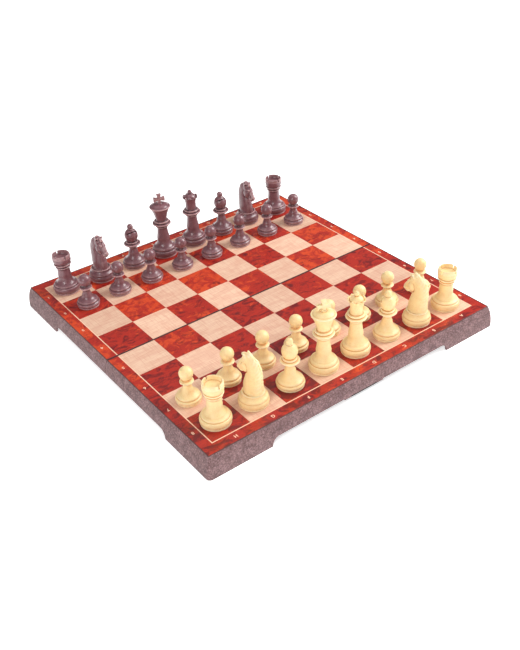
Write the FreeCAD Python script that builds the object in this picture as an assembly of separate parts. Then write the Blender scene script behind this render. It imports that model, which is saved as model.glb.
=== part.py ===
"""Folding magnetic chess set.

Two shallow moulded case halves meet at a seam across the middle of the board.  Each
half carries a printed play panel on a steel sheet, and a storage tray under it.  Two
double-pin hinge links let one half fold under the other, a latch on the near edge
holds the folded case shut, and 32 magnetic pieces stand on the board.

Units are millimetres.  The origin is the centre of the footprint on the table, +Z is
up, X runs along the seam and +Y runs towards the dark pieces.
"""
import FreeCAD, Part
import math
import os

V = FreeCAD.Vector
X_AXIS = V(1, 0, 0)
Y_AXIS = V(0, 1, 0)
Z_AXIS = V(0, 0, 1)
ORIGIN = V(0, 0, 0)

# ---------------------------------------------------------------- driving dimensions
# Board
SQUARE = 35.0                # side of one square
FILES = "hgfedcba"           # file letters from -X to +X
SQUARES_PER_HALF = 4         # ranks carried by each case half
BORDER = 11.0                # printed margin outside the squares
CASE_HEIGHT = 20.0           # table to the rim of the case
SEAM_GAP = 0.5               # between the two closed-up case halves
FLARE = 4.0                  # how far the walls spread from the rim to the table
WALL = 2.0                   # case wall
SKIN = 1.6                   # case top under the steel sheet
RIM_LIP = 0.55               # width of the thin rim round the panel
CORNER_RADIUS_TOP = 1.0      # upright corner edges, at the rim
CORNER_RADIUS_FOOT = 4.0     # upright corner edges, at the table
PANEL_THICKNESS = 0.8
PANEL_RECESS = 0.1           # panel face below the rim
STEEL_THICKNESS = 0.5
PANEL_CLEARANCE = 0.1        # panel and sheet to the rim

# Long openings between the corner feet
FOOT_INNER_END = 95.6        # centre of a side to the inner end of a foot
CUTOUT_HEIGHT = 7.2
CUTOUT_RADIUS = 7.0
POST_CLEARANCE = 0.5         # corner post inside each foot, to the tray

# Hinge
HINGE_OFFSET = 95.0          # centre of the board to the centre of a link
LINK_LENGTH = 26.0
LINK_RADIUS = 2.6
PIN_RADIUS = 1.2
PIN_FIT = 0.04               # radial running fit of every pin
HINGE_LUG = 4.0              # thickness of one lug
SIDE_CLEARANCE = 0.3         # between a moving part and the lugs beside it
PIN_HEIGHT = 3.0             # pin axis above the table
FOLD_GAP = 0.4               # between the two halves when folded shut
SEAM_LUG_CLEARANCE = 0.35    # a lug to the face of the seam

# Latch
LATCH_WIDTH = 28.0
LATCH_PIN_HEIGHT = 5.6
LATCH_INSET = 2.5            # foot of the wall to the latch axis
LATCH_BARREL = 1.2
LATCH_PLATE = 1.1
LATCH_HOOK = 1.2
LATCH_PIN_RADIUS = 0.6
LATCH_CLEARANCE = 0.15
LATCH_LUG = 6.4
CATCH_HEIGHT = 4.0

# Storage trays
TRAY_SIDE_GAP = 12.0         # foot of the wall to the tray
TRAY_SEAM_GAP = 8.5          # seam to the tray
TRAY_WALL = 1.4
TRAY_FLOOR = 1.4
TRAY_TOP_GAP = 0.3           # tray to the case top
TRAY_EDGE = 0.3              # open edge of the tray above the table
TRAY_CORNER = 6.0
LATCH_BAY_HALF_WIDTH = 25.0  # bay in the tray that clears the latch
LATCH_BAY_DEPTH = 6.0
EAR_SIZE = 8.0
EAR_THICKNESS = 1.6
EAR_HEIGHT = 9.0             # underside of the ears above the table
EAR_INSET = 24.0             # end of the tray to the centre of an ear
BOSS_RADIUS = 2.9
SCREW_RADIUS = 1.0
SCREW_FIT = 0.06
SCREW_HEAD_RADIUS = 1.9
SCREW_HEAD = 1.2
SCREW_DEPTH = 6.0            # hole inside the boss
SCREW_TIP_CLEARANCE = 0.1    # screw end to the end of its hole

# Pieces: base radius and height of each kind
KING_RADIUS = 12.9
KING_HEIGHT = 65.5
QUEEN_RADIUS = 12.9
QUEEN_HEIGHT = 58.6
BISHOP_RADIUS = 11.9
BISHOP_HEIGHT = 45.0
KNIGHT_RADIUS = 12.6
KNIGHT_HEIGHT = 46.6
ROOK_RADIUS = 12.8
ROOK_HEIGHT = 39.0
NOTCH_WIDTH = 1.4            # the four gaps in the rook's rim
NOTCH_TURN = 3.0
PAWN_RADIUS = 10.7
PAWN_HEIGHT = 32.5
DISC_THICKNESS = 1.4         # base disc that closes the magnet pocket
DISC_STEP = 0.5              # base disc inside the base radius
GROOVE_HEIGHT = 0.5          # groove above the base disc
GROOVE_DEPTH = 1.3
MAGNET_RADIUS = 5.0
MAGNET_HEIGHT = 2.4
MAGNET_CLEARANCE = 0.1

# ---------------------------------------------------------------- derived frame
PANEL_TOP = CASE_HEIGHT - PANEL_RECESS
STEEL_TOP = PANEL_TOP - PANEL_THICKNESS
POCKET_FLOOR = STEEL_TOP - STEEL_THICKNESS
CAVITY_TOP = POCKET_FLOOR - SKIN
SEAM_FACE = SEAM_GAP / 2
FIRST_SQUARE = SEAM_FACE + RIM_LIP + PANEL_CLEARANCE
HALF_GRID = SQUARES_PER_HALF * SQUARE
RIM_X = HALF_GRID + BORDER
RIM_Y = FIRST_SQUARE + HALF_GRID + BORDER
FOOT_X = RIM_X + FLARE
FOOT_Y = RIM_Y + FLARE
WALL_ARC = (FLARE ** 2 + CASE_HEIGHT ** 2) / (2 * FLARE)
PIN_OFFSET = PIN_HEIGHT + FOLD_GAP / 2
LATCH_Y = FOOT_Y - LATCH_INSET
LATCH_REACH = LATCH_PIN_HEIGHT + FOLD_GAP + CATCH_HEIGHT
TRAY_X = FOOT_X - TRAY_SIDE_GAP
TRAY_Y = FOOT_Y - TRAY_SIDE_GAP
TRAY_TOP = CAVITY_TOP - TRAY_TOP_GAP
CUT_MARGIN = 1.0             # how far a cutting tool runs past the face it cuts


# ---------------------------------------------------------------- small helpers
def placed(shape, x=0.0, y=0.0, z=0.0, turn=0.0):
    """Copy of a shape, turned about Z in degrees and then moved."""
    copy = shape.copy()
    copy.rotate(ORIGIN, Z_AXIS, turn)
    copy.translate(V(x, y, z))
    return copy


def block(x0, x1, y0, y1, z0, z1):
    """Box between two corners."""
    return Part.makeBox(x1 - x0, y1 - y0, z1 - z0, V(x0, y0, z0))


def rod(radius, x0, x1, y, z):
    """Cylinder along X."""
    return Part.makeCylinder(radius, x1 - x0, V(x0, y, z), X_AXIS)


def mirrored(shape):
    """The same thing on the other side of the seam."""
    return shape.mirror(ORIGIN, Y_AXIS)


def wall_offset(inset, z):
    """How far the wall has closed in at height z, for a surface inset from the outer one."""
    return WALL_ARC - math.sqrt((WALL_ARC - inset) ** 2 - z ** 2)


def save(name, *solids):
    """Write one sub-part, as one solid or as a group of separate solids."""
    shape = solids[0] if len(solids) == 1 else Part.makeCompound(list(solids))
    shape.exportStep("parts/" + name + ".step")
    print("%-28s solids %d  volume %.1f" % (name, len(shape.Solids), shape.Volume))


class Outline:
    """A chain of lines and arcs in the XZ plane, for turning or extruding."""

    def __init__(self, r, z):
        self.start = V(r, 0, z)
        self.point = self.start
        self.edges = []

    def line(self, r, z):
        end = V(r, 0, z)
        self.edges.append(Part.LineSegment(self.point, end).toShape())
        self.point = end
        return self

    def bow(self, r, z, sag):
        """Arc to (r, z) that bows to the right of the way it runs by sag."""
        end = V(r, 0, z)
        chord = end.sub(self.point)
        side = V(chord.z, 0, -chord.x).normalize()
        middle = self.point.add(end).multiply(0.5).add(side.multiply(sag))
        self.edges.append(Part.Arc(self.point, middle, end).toShape())
        self.point = end
        return self

    def curve(self, points):
        """Smooth curve on through the given points."""
        chain = [self.point] + [V(r, 0, z) for r, z in points]
        spline = Part.BSplineCurve()
        spline.interpolate(chain)
        self.edges.append(spline.toShape())
        self.point = chain[-1]
        return self

    def ball(self, radius, neck, top):
        """Ball on the axis, on a neck of its own radius."""
        centre = top - radius
        self.line(neck, centre - math.sqrt(radius ** 2 - neck ** 2))
        end = V(0, 0, top)
        self.edges.append(Part.Arc(self.point, V(radius, 0, centre), end).toShape())
        self.point = end
        return self

    def face(self):
        if self.point.distanceToPoint(self.start) > 1e-6:
            self.line(self.start.x, self.start.z)
        return Part.Face(Part.Wire(self.edges))

    def turned(self):
        """Solid of revolution about Z."""
        return self.face().revolve(ORIGIN, Z_AXIS, 360)

    def extruded(self, y0, y1):
        return self.face().translated(V(0, y0, 0)).extrude(V(0, y1 - y0, 0))


# ---------------------------------------------------------------- case halves
def flared_block(inset, z0, z1, seam):
    """Near half of the case as a solid block, from y = -seam, inset from its outer surface."""
    def half_section(foot, inner):
        """Upright section from an inner face out to the arched wall."""
        low = foot - inset
        top = foot - wall_offset(inset, z1)
        radius = WALL_ARC - inset
        half_chord = math.hypot(low - top, z1) / 2
        shape = Outline(inner, z0).line(low, z0)
        if z0 < 0:
            shape.line(low, 0)
        shape.bow(top, z1, radius - math.sqrt(radius ** 2 - half_chord ** 2))
        return shape.line(inner, z1)

    right = half_section(FOOT_X, 0).extruded(-FOOT_Y - CUT_MARGIN, 0)
    across = right.fuse(right.mirror(ORIGIN, X_AXIS))
    along = half_section(FOOT_Y, seam).extruded(-FOOT_X - CUT_MARGIN, FOOT_X + CUT_MARGIN)
    along.rotate(ORIGIN, Z_AXIS, -90)
    return across.common(along).removeSplitter()


def round_corners(shell):
    """Round the two upright outer corners, more at the foot than at the rim."""
    for side in (-1, 1):
        for edge in shell.Edges:
            low, high = sorted((v.Point for v in edge.Vertexes), key=lambda p: p.z)
            at_foot = low.distanceToPoint(V(side * FOOT_X, -FOOT_Y, 0)) < 0.01
            if at_foot and abs(high.z - CASE_HEIGHT) < 0.01:
                rising = edge.valueAt(edge.FirstParameter).z < CASE_HEIGHT / 2
                radii = [CORNER_RADIUS_FOOT, CORNER_RADIUS_TOP]
                if not rising:
                    radii.reverse()
                shell = shell.makeFillet(radii[0], radii[1], [edge])
                break
    return shell


def cutout(reach_in):
    """Tool for the long opening between two feet, in the -Y wall."""
    half = FOOT_INNER_END
    flat = half - CUTOUT_RADIUS
    shoulder = CUTOUT_HEIGHT - CUTOUT_RADIUS
    sag = CUTOUT_RADIUS * (1 - math.sqrt(0.5))
    shape = Outline(-half, -CUT_MARGIN).line(half, -CUT_MARGIN).line(half, shoulder)
    shape.bow(flat, CUTOUT_HEIGHT, sag).line(-flat, CUTOUT_HEIGHT).bow(-half, shoulder, sag)
    return shape.extruded(-FOOT_Y - CUT_MARGIN, -FOOT_Y + reach_in)


def hinge_stations():
    """Centres of the hinge links along X."""
    return (-HINGE_OFFSET, HINGE_OFFSET)


def hinge_lugs():
    """Lugs of the near half, hanging from the seam wall down to the pins."""
    lugs = []
    face = -SEAM_FACE - SEAM_LUG_CLEARANCE
    for centre in hinge_stations():
        for side in (-1, 1):
            inner = centre + side * (LINK_LENGTH / 2 + SIDE_CLEARANCE)
            outer = inner + side * HINGE_LUG
            x0, x1 = sorted((inner, outer))
            eye = rod(LINK_RADIUS, x0, x1, -PIN_OFFSET, PIN_HEIGHT)
            back = -PIN_OFFSET - LINK_RADIUS
            stem = block(x0, x1, back, face, PIN_HEIGHT, CAVITY_TOP + SKIN / 2)
            lugs.append(eye.fuse(stem))
    return lugs


def hinge_bores():
    """Bores for the near pins, through both lugs of each hinge."""
    half = LINK_LENGTH / 2 + SIDE_CLEARANCE + HINGE_LUG + CUT_MARGIN
    return [rod(PIN_RADIUS + PIN_FIT, centre - half, centre + half, -PIN_OFFSET, PIN_HEIGHT)
            for centre in hinge_stations()]


def edge_lugs(axis_height):
    """Pair of lugs at the middle of the outer wall, for the latch or the catch."""
    lugs = []
    for side in (-1, 1):
        inner = side * (LATCH_WIDTH / 2 + SIDE_CLEARANCE)
        outer = inner + side * LATCH_LUG
        x0, x1 = sorted((inner, outer))
        eye = rod(LATCH_BARREL, x0, x1, -LATCH_Y, axis_height)
        stem = block(x0, x1, -LATCH_Y - LATCH_BARREL, -LATCH_Y + LATCH_BARREL,
                     axis_height, CUTOUT_HEIGHT + WALL)
        lugs.append(eye.fuse(stem))
    return lugs


def ear_centres():
    """Places of the four tray screws of the near half."""
    x = TRAY_X + EAR_SIZE / 2
    ys = (-TRAY_SEAM_GAP - EAR_INSET, -TRAY_Y + EAR_INSET)
    return [(side * x, y) for side in (-1, 1) for y in ys]


def case_shell():
    """Near case half without its latch or catch."""
    shell = round_corners(flared_block(0.0, 0.0, CASE_HEIGHT, SEAM_FACE))
    shell = shell.cut(flared_block(WALL, -CUT_MARGIN, CAVITY_TOP, SEAM_FACE + WALL))
    closing = wall_offset(WALL, CAVITY_TOP)
    for side in (-1, 1):
        x0, x1 = sorted((side * (TRAY_X + POST_CLEARANCE), side * (FOOT_X - closing)))
        shell = shell.fuse(block(x0, x1, -FOOT_Y + closing, -TRAY_Y - POST_CLEARANCE,
                                 0, POCKET_FLOOR))
    for x, y in ear_centres():
        boss_floor = EAR_HEIGHT + EAR_THICKNESS
        boss = Part.makeCylinder(BOSS_RADIUS, POCKET_FLOOR - boss_floor, V(x, y, boss_floor))
        shell = shell.fuse(boss)
    for lug in hinge_lugs():
        shell = shell.fuse(lug)
    pocket = block(-RIM_X + RIM_LIP, RIM_X - RIM_LIP, -RIM_Y + RIM_LIP, -SEAM_FACE - RIM_LIP,
                   POCKET_FLOOR, CASE_HEIGHT + CUT_MARGIN)
    shell = shell.cut(pocket)
    reach = 2 * WALL + FLARE
    shell = shell.cut(cutout(reach))
    for turn in (90, -90):
        side_tool = placed(cutout(reach), turn=turn)
        side_tool.translate(V(math.copysign(FOOT_X - FOOT_Y, turn), 0, 0))
        shell = shell.cut(side_tool)
    seam_opening = block(-FOOT_X, FOOT_X, -SEAM_FACE - WALL, CUT_MARGIN,
                         -CUT_MARGIN, CUTOUT_HEIGHT)
    for lug in hinge_lugs():
        seam_opening = seam_opening.cut(lug)
    shell = shell.cut(seam_opening)
    for bore in hinge_bores():
        shell = shell.cut(bore)
    for x, y in ear_centres():
        foot = V(x, y, EAR_HEIGHT + EAR_THICKNESS - CUT_MARGIN)
        hole = Part.makeCylinder(SCREW_RADIUS + SCREW_FIT, SCREW_DEPTH + CUT_MARGIN, foot)
        shell = shell.cut(hole)
    return shell


def near_shell():
    shell = case_shell()
    for lug in edge_lugs(LATCH_PIN_HEIGHT):
        shell = shell.fuse(lug)
    reach = LATCH_WIDTH / 2 + SIDE_CLEARANCE + LATCH_LUG + CUT_MARGIN
    bore = rod(LATCH_PIN_RADIUS + PIN_FIT, -reach, reach, -LATCH_Y, LATCH_PIN_HEIGHT)
    return shell.cut(bore).removeSplitter()


def far_shell():
    shell = case_shell()
    for lug in edge_lugs(CATCH_HEIGHT):
        shell = shell.fuse(lug)
    reach = LATCH_WIDTH / 2 + SIDE_CLEARANCE + LATCH_LUG / 2
    bar = rod(LATCH_BARREL, -reach, reach, -LATCH_Y, CATCH_HEIGHT)
    return mirrored(shell.fuse(bar).removeSplitter())


# ---------------------------------------------------------------- board surface
def sheet(z0, z1):
    """A flat sheet that drops into the pocket of the near half."""
    edge = RIM_LIP + PANEL_CLEARANCE
    return block(-RIM_X + edge, RIM_X - edge, -RIM_Y + edge, -FIRST_SQUARE, z0, z1)


# ---------------------------------------------------------------- hinge
def hinge_link(centre):
    x0 = centre - LINK_LENGTH / 2
    x1 = centre + LINK_LENGTH / 2
    link = block(x0, x1, -PIN_OFFSET, PIN_OFFSET, PIN_HEIGHT - LINK_RADIUS,
                 PIN_HEIGHT + LINK_RADIUS)
    for y in (-PIN_OFFSET, PIN_OFFSET):
        link = link.fuse(rod(LINK_RADIUS, x0, x1, y, PIN_HEIGHT))
    for y in (-PIN_OFFSET, PIN_OFFSET):
        bore = rod(PIN_RADIUS + PIN_FIT, x0 - CUT_MARGIN, x1 + CUT_MARGIN, y, PIN_HEIGHT)
        link = link.cut(bore)
    return link.removeSplitter()


def hinge_pins():
    """The two pins of the near half."""
    half = LINK_LENGTH / 2 + SIDE_CLEARANCE + HINGE_LUG
    return [rod(PIN_RADIUS, centre - half, centre + half, -PIN_OFFSET, PIN_HEIGHT)
            for centre in hinge_stations()]


# ---------------------------------------------------------------- latch
def latch():
    """Latch plate stowed flat under the case, with its hook pointing up."""
    half = LATCH_WIDTH / 2
    inner_face = -LATCH_BARREL - LATCH_CLEARANCE
    outer_face = inner_face - LATCH_PLATE
    hook_face = LATCH_REACH + LATCH_BARREL + LATCH_CLEARANCE
    hook_end = hook_face + LATCH_HOOK
    hook_tip = -LATCH_CLEARANCE
    web = LATCH_BARREL + LATCH_PLATE / 2
    side = Outline(LATCH_PLATE / 2, outer_face).line(hook_end, outer_face)
    side.line(hook_end, hook_tip).line(hook_face, hook_tip).line(hook_face, inner_face)
    side.line(web, inner_face).line(web, 0).line(0, 0).line(0, outer_face + LATCH_PLATE / 2)
    plate = side.extruded(-half, half)
    plate.rotate(ORIGIN, Z_AXIS, 90)
    plate = plate.translated(V(0, -LATCH_Y, LATCH_PIN_HEIGHT))
    body = plate.fuse(rod(LATCH_BARREL, -half, half, -LATCH_Y, LATCH_PIN_HEIGHT))
    bore = rod(LATCH_PIN_RADIUS + PIN_FIT, -half - CUT_MARGIN, half + CUT_MARGIN,
               -LATCH_Y, LATCH_PIN_HEIGHT)
    return body.cut(bore).removeSplitter()


def latch_pin():
    half = LATCH_WIDTH / 2 + SIDE_CLEARANCE + LATCH_LUG - LATCH_CLEARANCE
    return rod(LATCH_PIN_RADIUS, -half, half, -LATCH_Y, LATCH_PIN_HEIGHT)


# ---------------------------------------------------------------- storage trays
def tray_prism(inset, z0, z1):
    """Plan of the near tray as a prism, with the bay that clears the latch."""
    x = TRAY_X - inset
    y0 = -TRAY_Y + inset
    y1 = -TRAY_SEAM_GAP - inset
    bay_x = LATCH_BAY_HALF_WIDTH + inset
    bay_y = -TRAY_Y + LATCH_BAY_DEPTH + inset
    prism = block(-x, x, y0, y1, z0, z1)
    corners = []
    for edge in prism.Edges:
        ends = [v.Point for v in edge.Vertexes]
        if abs(ends[0].z - ends[1].z) > (z1 - z0) / 2:
            corners.append(edge)
    prism = prism.makeFillet(TRAY_CORNER - inset, corners)
    return prism.cut(block(-bay_x, bay_x, y0 - CUT_MARGIN, bay_y, z0 - CUT_MARGIN,
                           z1 + CUT_MARGIN))


def storage_tray():
    tray = tray_prism(0.0, TRAY_EDGE, TRAY_TOP)
    tray = tray.cut(tray_prism(TRAY_WALL, TRAY_EDGE - CUT_MARGIN, TRAY_TOP - TRAY_FLOOR))
    divider = block(-TRAY_WALL / 2, TRAY_WALL / 2, -TRAY_Y + LATCH_BAY_DEPTH + TRAY_WALL / 2,
                    -TRAY_SEAM_GAP - TRAY_WALL / 2, TRAY_EDGE, TRAY_TOP - TRAY_FLOOR / 2)
    tray = tray.fuse(divider)
    for x, y in ear_centres():
        inner = math.copysign(TRAY_X - TRAY_WALL / 2, x)
        outer = math.copysign(TRAY_X + EAR_SIZE, x)
        x0, x1 = sorted((inner, outer))
        ear = block(x0, x1, y - EAR_SIZE / 2, y + EAR_SIZE / 2, EAR_HEIGHT,
                    EAR_HEIGHT + EAR_THICKNESS)
        hole = Part.makeCylinder(SCREW_RADIUS + SCREW_FIT, EAR_THICKNESS + 2 * CUT_MARGIN,
                                 V(x, y, EAR_HEIGHT - CUT_MARGIN))
        tray = tray.fuse(ear.cut(hole))
    return tray.removeSplitter()


def tray_screws():
    screws = []
    for x, y in ear_centres():
        length = EAR_THICKNESS + SCREW_DEPTH - SCREW_TIP_CLEARANCE
        shank = Part.makeCylinder(SCREW_RADIUS, length, V(x, y, EAR_HEIGHT))
        head = Part.makeCylinder(SCREW_HEAD_RADIUS, SCREW_HEAD,
                                 V(x, y, EAR_HEIGHT - SCREW_HEAD))
        screws.append(shank.fuse(head).removeSplitter())
    return screws


# ---------------------------------------------------------------- pieces
def piece_base(radius, drum_top, ledge_radius, ledge_top):
    """Turned outline of a base: groove, bulging drum and the ledge above it."""
    spigot = radius - GROOVE_DEPTH
    drum_floor = DISC_THICKNESS + GROOVE_HEIGHT
    shape = Outline(0, DISC_THICKNESS).line(spigot, DISC_THICKNESS)
    shape.line(spigot, drum_floor).line(radius - 0.4, drum_floor)
    shape.bow(radius - 0.5, drum_top, 0.45)
    shape.line(ledge_radius + 0.9, drum_top + 0.4)
    return shape.bow(ledge_radius, ledge_top, 0.3)


def finish_piece(body, radius):
    """Magnet pocket, magnet and base disc, as separate solids with the body."""
    pocket_top = DISC_THICKNESS + MAGNET_HEIGHT + MAGNET_CLEARANCE
    pocket = Part.makeCylinder(MAGNET_RADIUS + MAGNET_CLEARANCE, pocket_top)
    magnet = Part.makeCylinder(MAGNET_RADIUS, MAGNET_HEIGHT, V(0, 0, DISC_THICKNESS))
    disc = Part.makeCylinder(radius - DISC_STEP, DISC_THICKNESS)
    return Part.makeCompound([body.cut(pocket), magnet, disc])


def long_stem(shape, neck_height):
    """Flared skirt, stem and collar shared by the king and the queen."""
    shape.bow(6.5, 18.5, -1.5).line(4.9, neck_height)
    collar = neck_height + 4.6
    shape.line(5.6, neck_height + 0.7).bow(8.2, neck_height + 3.4, -0.5)
    shape.bow(8.0, collar + 1.6, 0.7).line(6.6, collar + 2.0)
    shape.bow(6.3, collar + 4.0, 0.5).line(5.5, collar + 4.3)
    return shape.bow(5.3, collar + 6.0, 0.35)


def king():
    crown_rim = KING_HEIGHT - 13.3
    shape = piece_base(KING_RADIUS, 6.5, 10.3, 9.7)
    long_stem(shape, 30.2)
    shape.bow(9.7, crown_rim - 0.5, -0.7).bow(9.6, crown_rim + 0.6, 0.35)
    shape.bow(2.4, crown_rim + 3.4, 0.7).line(0, crown_rim + 3.6)
    cross_half = 5.9
    arm_tip = 2.3
    arm_root = 1.4
    cross_centre = KING_HEIGHT - cross_half + 0.6
    cross_foot = crown_rim + 2.8
    side = Outline(-arm_tip, cross_foot).line(arm_tip, cross_foot)
    side.bow(arm_root, cross_centre - arm_root, -0.3)
    side.bow(cross_half, cross_centre - arm_tip, -0.3)
    side.line(cross_half, cross_centre + arm_tip)
    side.bow(arm_root, cross_centre + arm_root, -0.3).bow(arm_tip, KING_HEIGHT, -0.2)
    side.line(-arm_tip, KING_HEIGHT).bow(-arm_root, cross_centre + arm_root, -0.2)
    side.bow(-cross_half, cross_centre + arm_tip, -0.3)
    side.line(-cross_half, cross_centre - arm_tip)
    side.bow(-arm_root, cross_centre - arm_root, -0.3).bow(-arm_tip, cross_foot, -0.3)
    cross = side.extruded(-1.8, 1.8)
    return finish_piece(shape.turned().fuse(cross), KING_RADIUS)


def queen():
    rim = QUEEN_HEIGHT - 6.2
    shape = piece_base(QUEEN_RADIUS, 6.5, 10.3, 9.7)
    long_stem(shape, 30.6)
    shape.bow(7.7, rim, -0.5).line(6.3, rim).line(5.4, rim - 2.2)
    shape.bow(1.3, rim + 1.9, 0.8)
    body = shape.ball(2.15, 1.3, QUEEN_HEIGHT).turned()
    points = 9
    for index in range(points):
        notch = Part.makeCylinder(1.5, 4.0, V(5.2, 0, rim + 0.5), X_AXIS)
        body = body.cut(placed(notch, turn=index * 360.0 / points))
    return finish_piece(body, QUEEN_RADIUS)


def bishop():
    shape = piece_base(BISHOP_RADIUS, 4.8, 9.8, 7.4)
    shape.bow(4.3, 17.6, -1.9).line(3.4, 20.4)
    shape.bow(7.3, 23.4, -0.4).bow(7.2, 25.6, 0.8).line(4.7, 26.6)
    widest = 6.6
    shape.bow(widest, 33.6, 0.5).bow(2.3, BISHOP_HEIGHT - 5.4, 0.8)
    body = shape.ball(3.0, 2.3, BISHOP_HEIGHT).turned()
    slit = block(-widest, widest, -0.55, 0.55, 0, 8.0)
    slit.rotate(ORIGIN, X_AXIS, 38)
    slit.translate(V(0, -3.2, 33.5))
    return finish_piece(body.cut(slit), BISHOP_RADIUS)


def knight():
    """Horse's head on a tall drum, facing +X before it is turned."""
    drum_top = 12.0
    shape = piece_base(KNIGHT_RADIUS, 6.0, KNIGHT_RADIUS - 1.9, 8.6).line(9.3, drum_top)
    drum = shape.line(0, drum_top).turned()
    top = KNIGHT_HEIGHT
    side = Outline(-8.4, drum_top - 1.0).line(8.2, drum_top - 1.0)
    side.curve([(7.6, 15.0), (6.4, 19.0), (4.2, 25.4)])
    side.line(6.8, 27.4).line(10.4, 25.6).line(14.2, 27.0).line(14.6, 30.2)
    side.curve([(12.6, 35.6), (10.0, 41.0), (8.6, 44.0)])
    side.line(5.8, top).line(2.4, top - 1.4)
    side.curve([(-4.2, 41.0), (-8.4, 34.4), (-9.6, 27.0), (-9.0, 18.0), (-8.4, drum_top - 1.0)])
    head = side.extruded(-KNIGHT_RADIUS, KNIGHT_RADIUS)
    front = Outline(-8.0, drum_top - 1.0).line(8.0, drum_top - 1.0)
    front.curve([(7.6, 18.0), (6.6, 26.0), (5.2, 34.0), (3.7, 42.0)]).line(2.6, top)
    front.line(-2.6, top).line(-3.7, 42.0)
    front.curve([(-5.2, 34.0), (-6.6, 26.0), (-7.6, 18.0), (-8.0, drum_top - 1.0)])
    width = front.extruded(-KNIGHT_RADIUS - 4.0, KNIGHT_RADIUS + 4.0)
    width.rotate(ORIGIN, Z_AXIS, 90)
    plan = Outline(-10.5, -6.0).line(-6.0, -8.5).line(4.0, -8.5).line(15.0, -3.0)
    plan.line(15.0, 3.0).line(4.0, 8.5).line(-6.0, 8.5).line(-10.5, 6.0)
    taper = plan.extruded(-top - 1.0, 0.0)
    taper.rotate(ORIGIN, X_AXIS, -90)
    return finish_piece(drum.fuse(head.common(width).common(taper)), KNIGHT_RADIUS)


def rook():
    rim = 8.6
    cup = 6.4
    cup_floor = ROOK_HEIGHT - 4.4
    shape = piece_base(ROOK_RADIUS, 6.6, 10.2, 8.6)
    shape.bow(6.4, 17.0, -1.6).line(5.8, 25.6)
    shape.bow(7.5, 28.2, -0.5).bow(7.4, 29.4, 0.4)
    shape.line(7.7, 29.8).bow(rim, 34.5, 0.3).line(rim, ROOK_HEIGHT).line(cup, ROOK_HEIGHT)
    shape.line(cup, cup_floor).line(0, cup_floor)
    body = shape.turned()
    for turn in (NOTCH_TURN, NOTCH_TURN + 90):
        notch = block(-rim - 1, rim + 1, -NOTCH_WIDTH / 2, NOTCH_WIDTH / 2, ROOK_HEIGHT - 3.2,
                      ROOK_HEIGHT + 1)
        body = body.cut(placed(notch, turn=turn))
    return finish_piece(body, ROOK_RADIUS)


def pawn():
    shape = piece_base(PAWN_RADIUS, 4.8, 8.4, 7.0)
    shape.bow(3.3, 16.0, -1.5).bow(5.2, 18.1, -0.3).bow(5.0, 19.9, 0.5)
    return finish_piece(shape.ball(5.8, 3.4, PAWN_HEIGHT).turned(), PAWN_RADIUS)


BACK_RANK = ("rook", "knight", "bishop", "king", "queen", "bishop", "knight", "rook")
MAKERS = {"king": king, "queen": queen, "bishop": bishop, "knight": knight,
          "rook": rook, "pawn": pawn}
CROSS_TURN = -20.0
KNIGHT_TURN = {"white": 90.0, "black": -90.0}

# Pieces are set down by hand, so a few stand off the middle of their square: dx, dy, turn
SET_DOWN = {
    "white_rook_h": (-2.0, -0.1, 0.0),
    "white_bishop_f": (-0.5, -1.4, 0.0),
    "white_king_e": (-0.8, -1.4, 0.0),
    "white_queen_d": (-0.7, -1.2, 0.0),
    "white_bishop_c": (-0.6, -1.8, 0.0),
    "white_knight_b": (-0.8, -3.0, 7.0),
    "white_knight_g": (-1.5, -0.6, 10.0),
    "white_rook_a": (0.6, -2.4, 0.0),
    "white_pawn_h": (-3.8, 0.0, 0.0),
    "white_pawn_d": (0.5, -0.4, 0.0),
    "white_pawn_c": (0.8, -0.6, 0.0),
    "white_pawn_a": (3.3, -2.8, 0.0),
    "black_rook_h": (-2.3, 2.0, 0.0),
    "black_bishop_f": (0.8, -0.6, 0.0),
    "black_king_e": (0.8, -0.7, 0.0),
    "black_queen_d": (1.0, -0.8, 0.0),
    "black_bishop_c": (1.2, -1.0, 0.0),
    "black_knight_b": (-0.5, 0.4, 0.0),
    "black_knight_g": (-0.8, -0.8, 8.0),
    "black_rook_a": (0.8, -0.6, 0.0),
    "black_pawn_h": (0.8, -0.6, 0.0),
}


def set_of_pieces():
    """Every piece as (node name, placed shape)."""
    kinds = {name: maker() for name, maker in MAKERS.items()}
    for colour, side in (("white", -1), ("black", 1)):
        for column, letter in enumerate(FILES):
            for kind, row in ((BACK_RANK[column], 3.5), ("pawn", 2.5)):
                name = "_".join((colour, kind, letter))
                dx, dy, turn = SET_DOWN.get(name, (0.0, 0.0, 0.0))
                if kind == "knight":
                    turn += KNIGHT_TURN[colour]
                if kind == "king":
                    turn += CROSS_TURN
                x = (column - 3.5) * SQUARE + dx
                y = side * (FIRST_SQUARE + row * SQUARE) + dy
                yield name, placed(kinds[kind], x, y, PANEL_TOP, turn)


# ---------------------------------------------------------------- write the sub-parts
def main():
    os.makedirs("parts", exist_ok=True)
    panel = sheet(STEEL_TOP, PANEL_TOP)
    steel = sheet(POCKET_FLOOR, STEEL_TOP)
    tray = storage_tray()
    screws = tray_screws()
    pins = hinge_pins()
    save("near_shell", near_shell())
    save("far_shell", far_shell())
    save("near_play_panel", panel)
    save("far_play_panel", mirrored(panel))
    save("near_steel_sheet", steel)
    save("far_steel_sheet", mirrored(steel))
    save("near_storage_tray", tray)
    save("far_storage_tray", mirrored(tray))
    save("near_tray_screws", *screws)
    save("far_tray_screws", *[mirrored(screw) for screw in screws])
    for name, centre in zip(("hinge_link_left", "hinge_link_right"), hinge_stations()):
        save(name, hinge_link(centre))
    save("near_hinge_pins", *pins)
    save("far_hinge_pins", *[mirrored(pin) for pin in pins])
    save("latch", latch())
    save("latch_pin", latch_pin())
    for name, shape in set_of_pieces():
        save(name, shape)


main()
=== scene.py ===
import math

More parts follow.
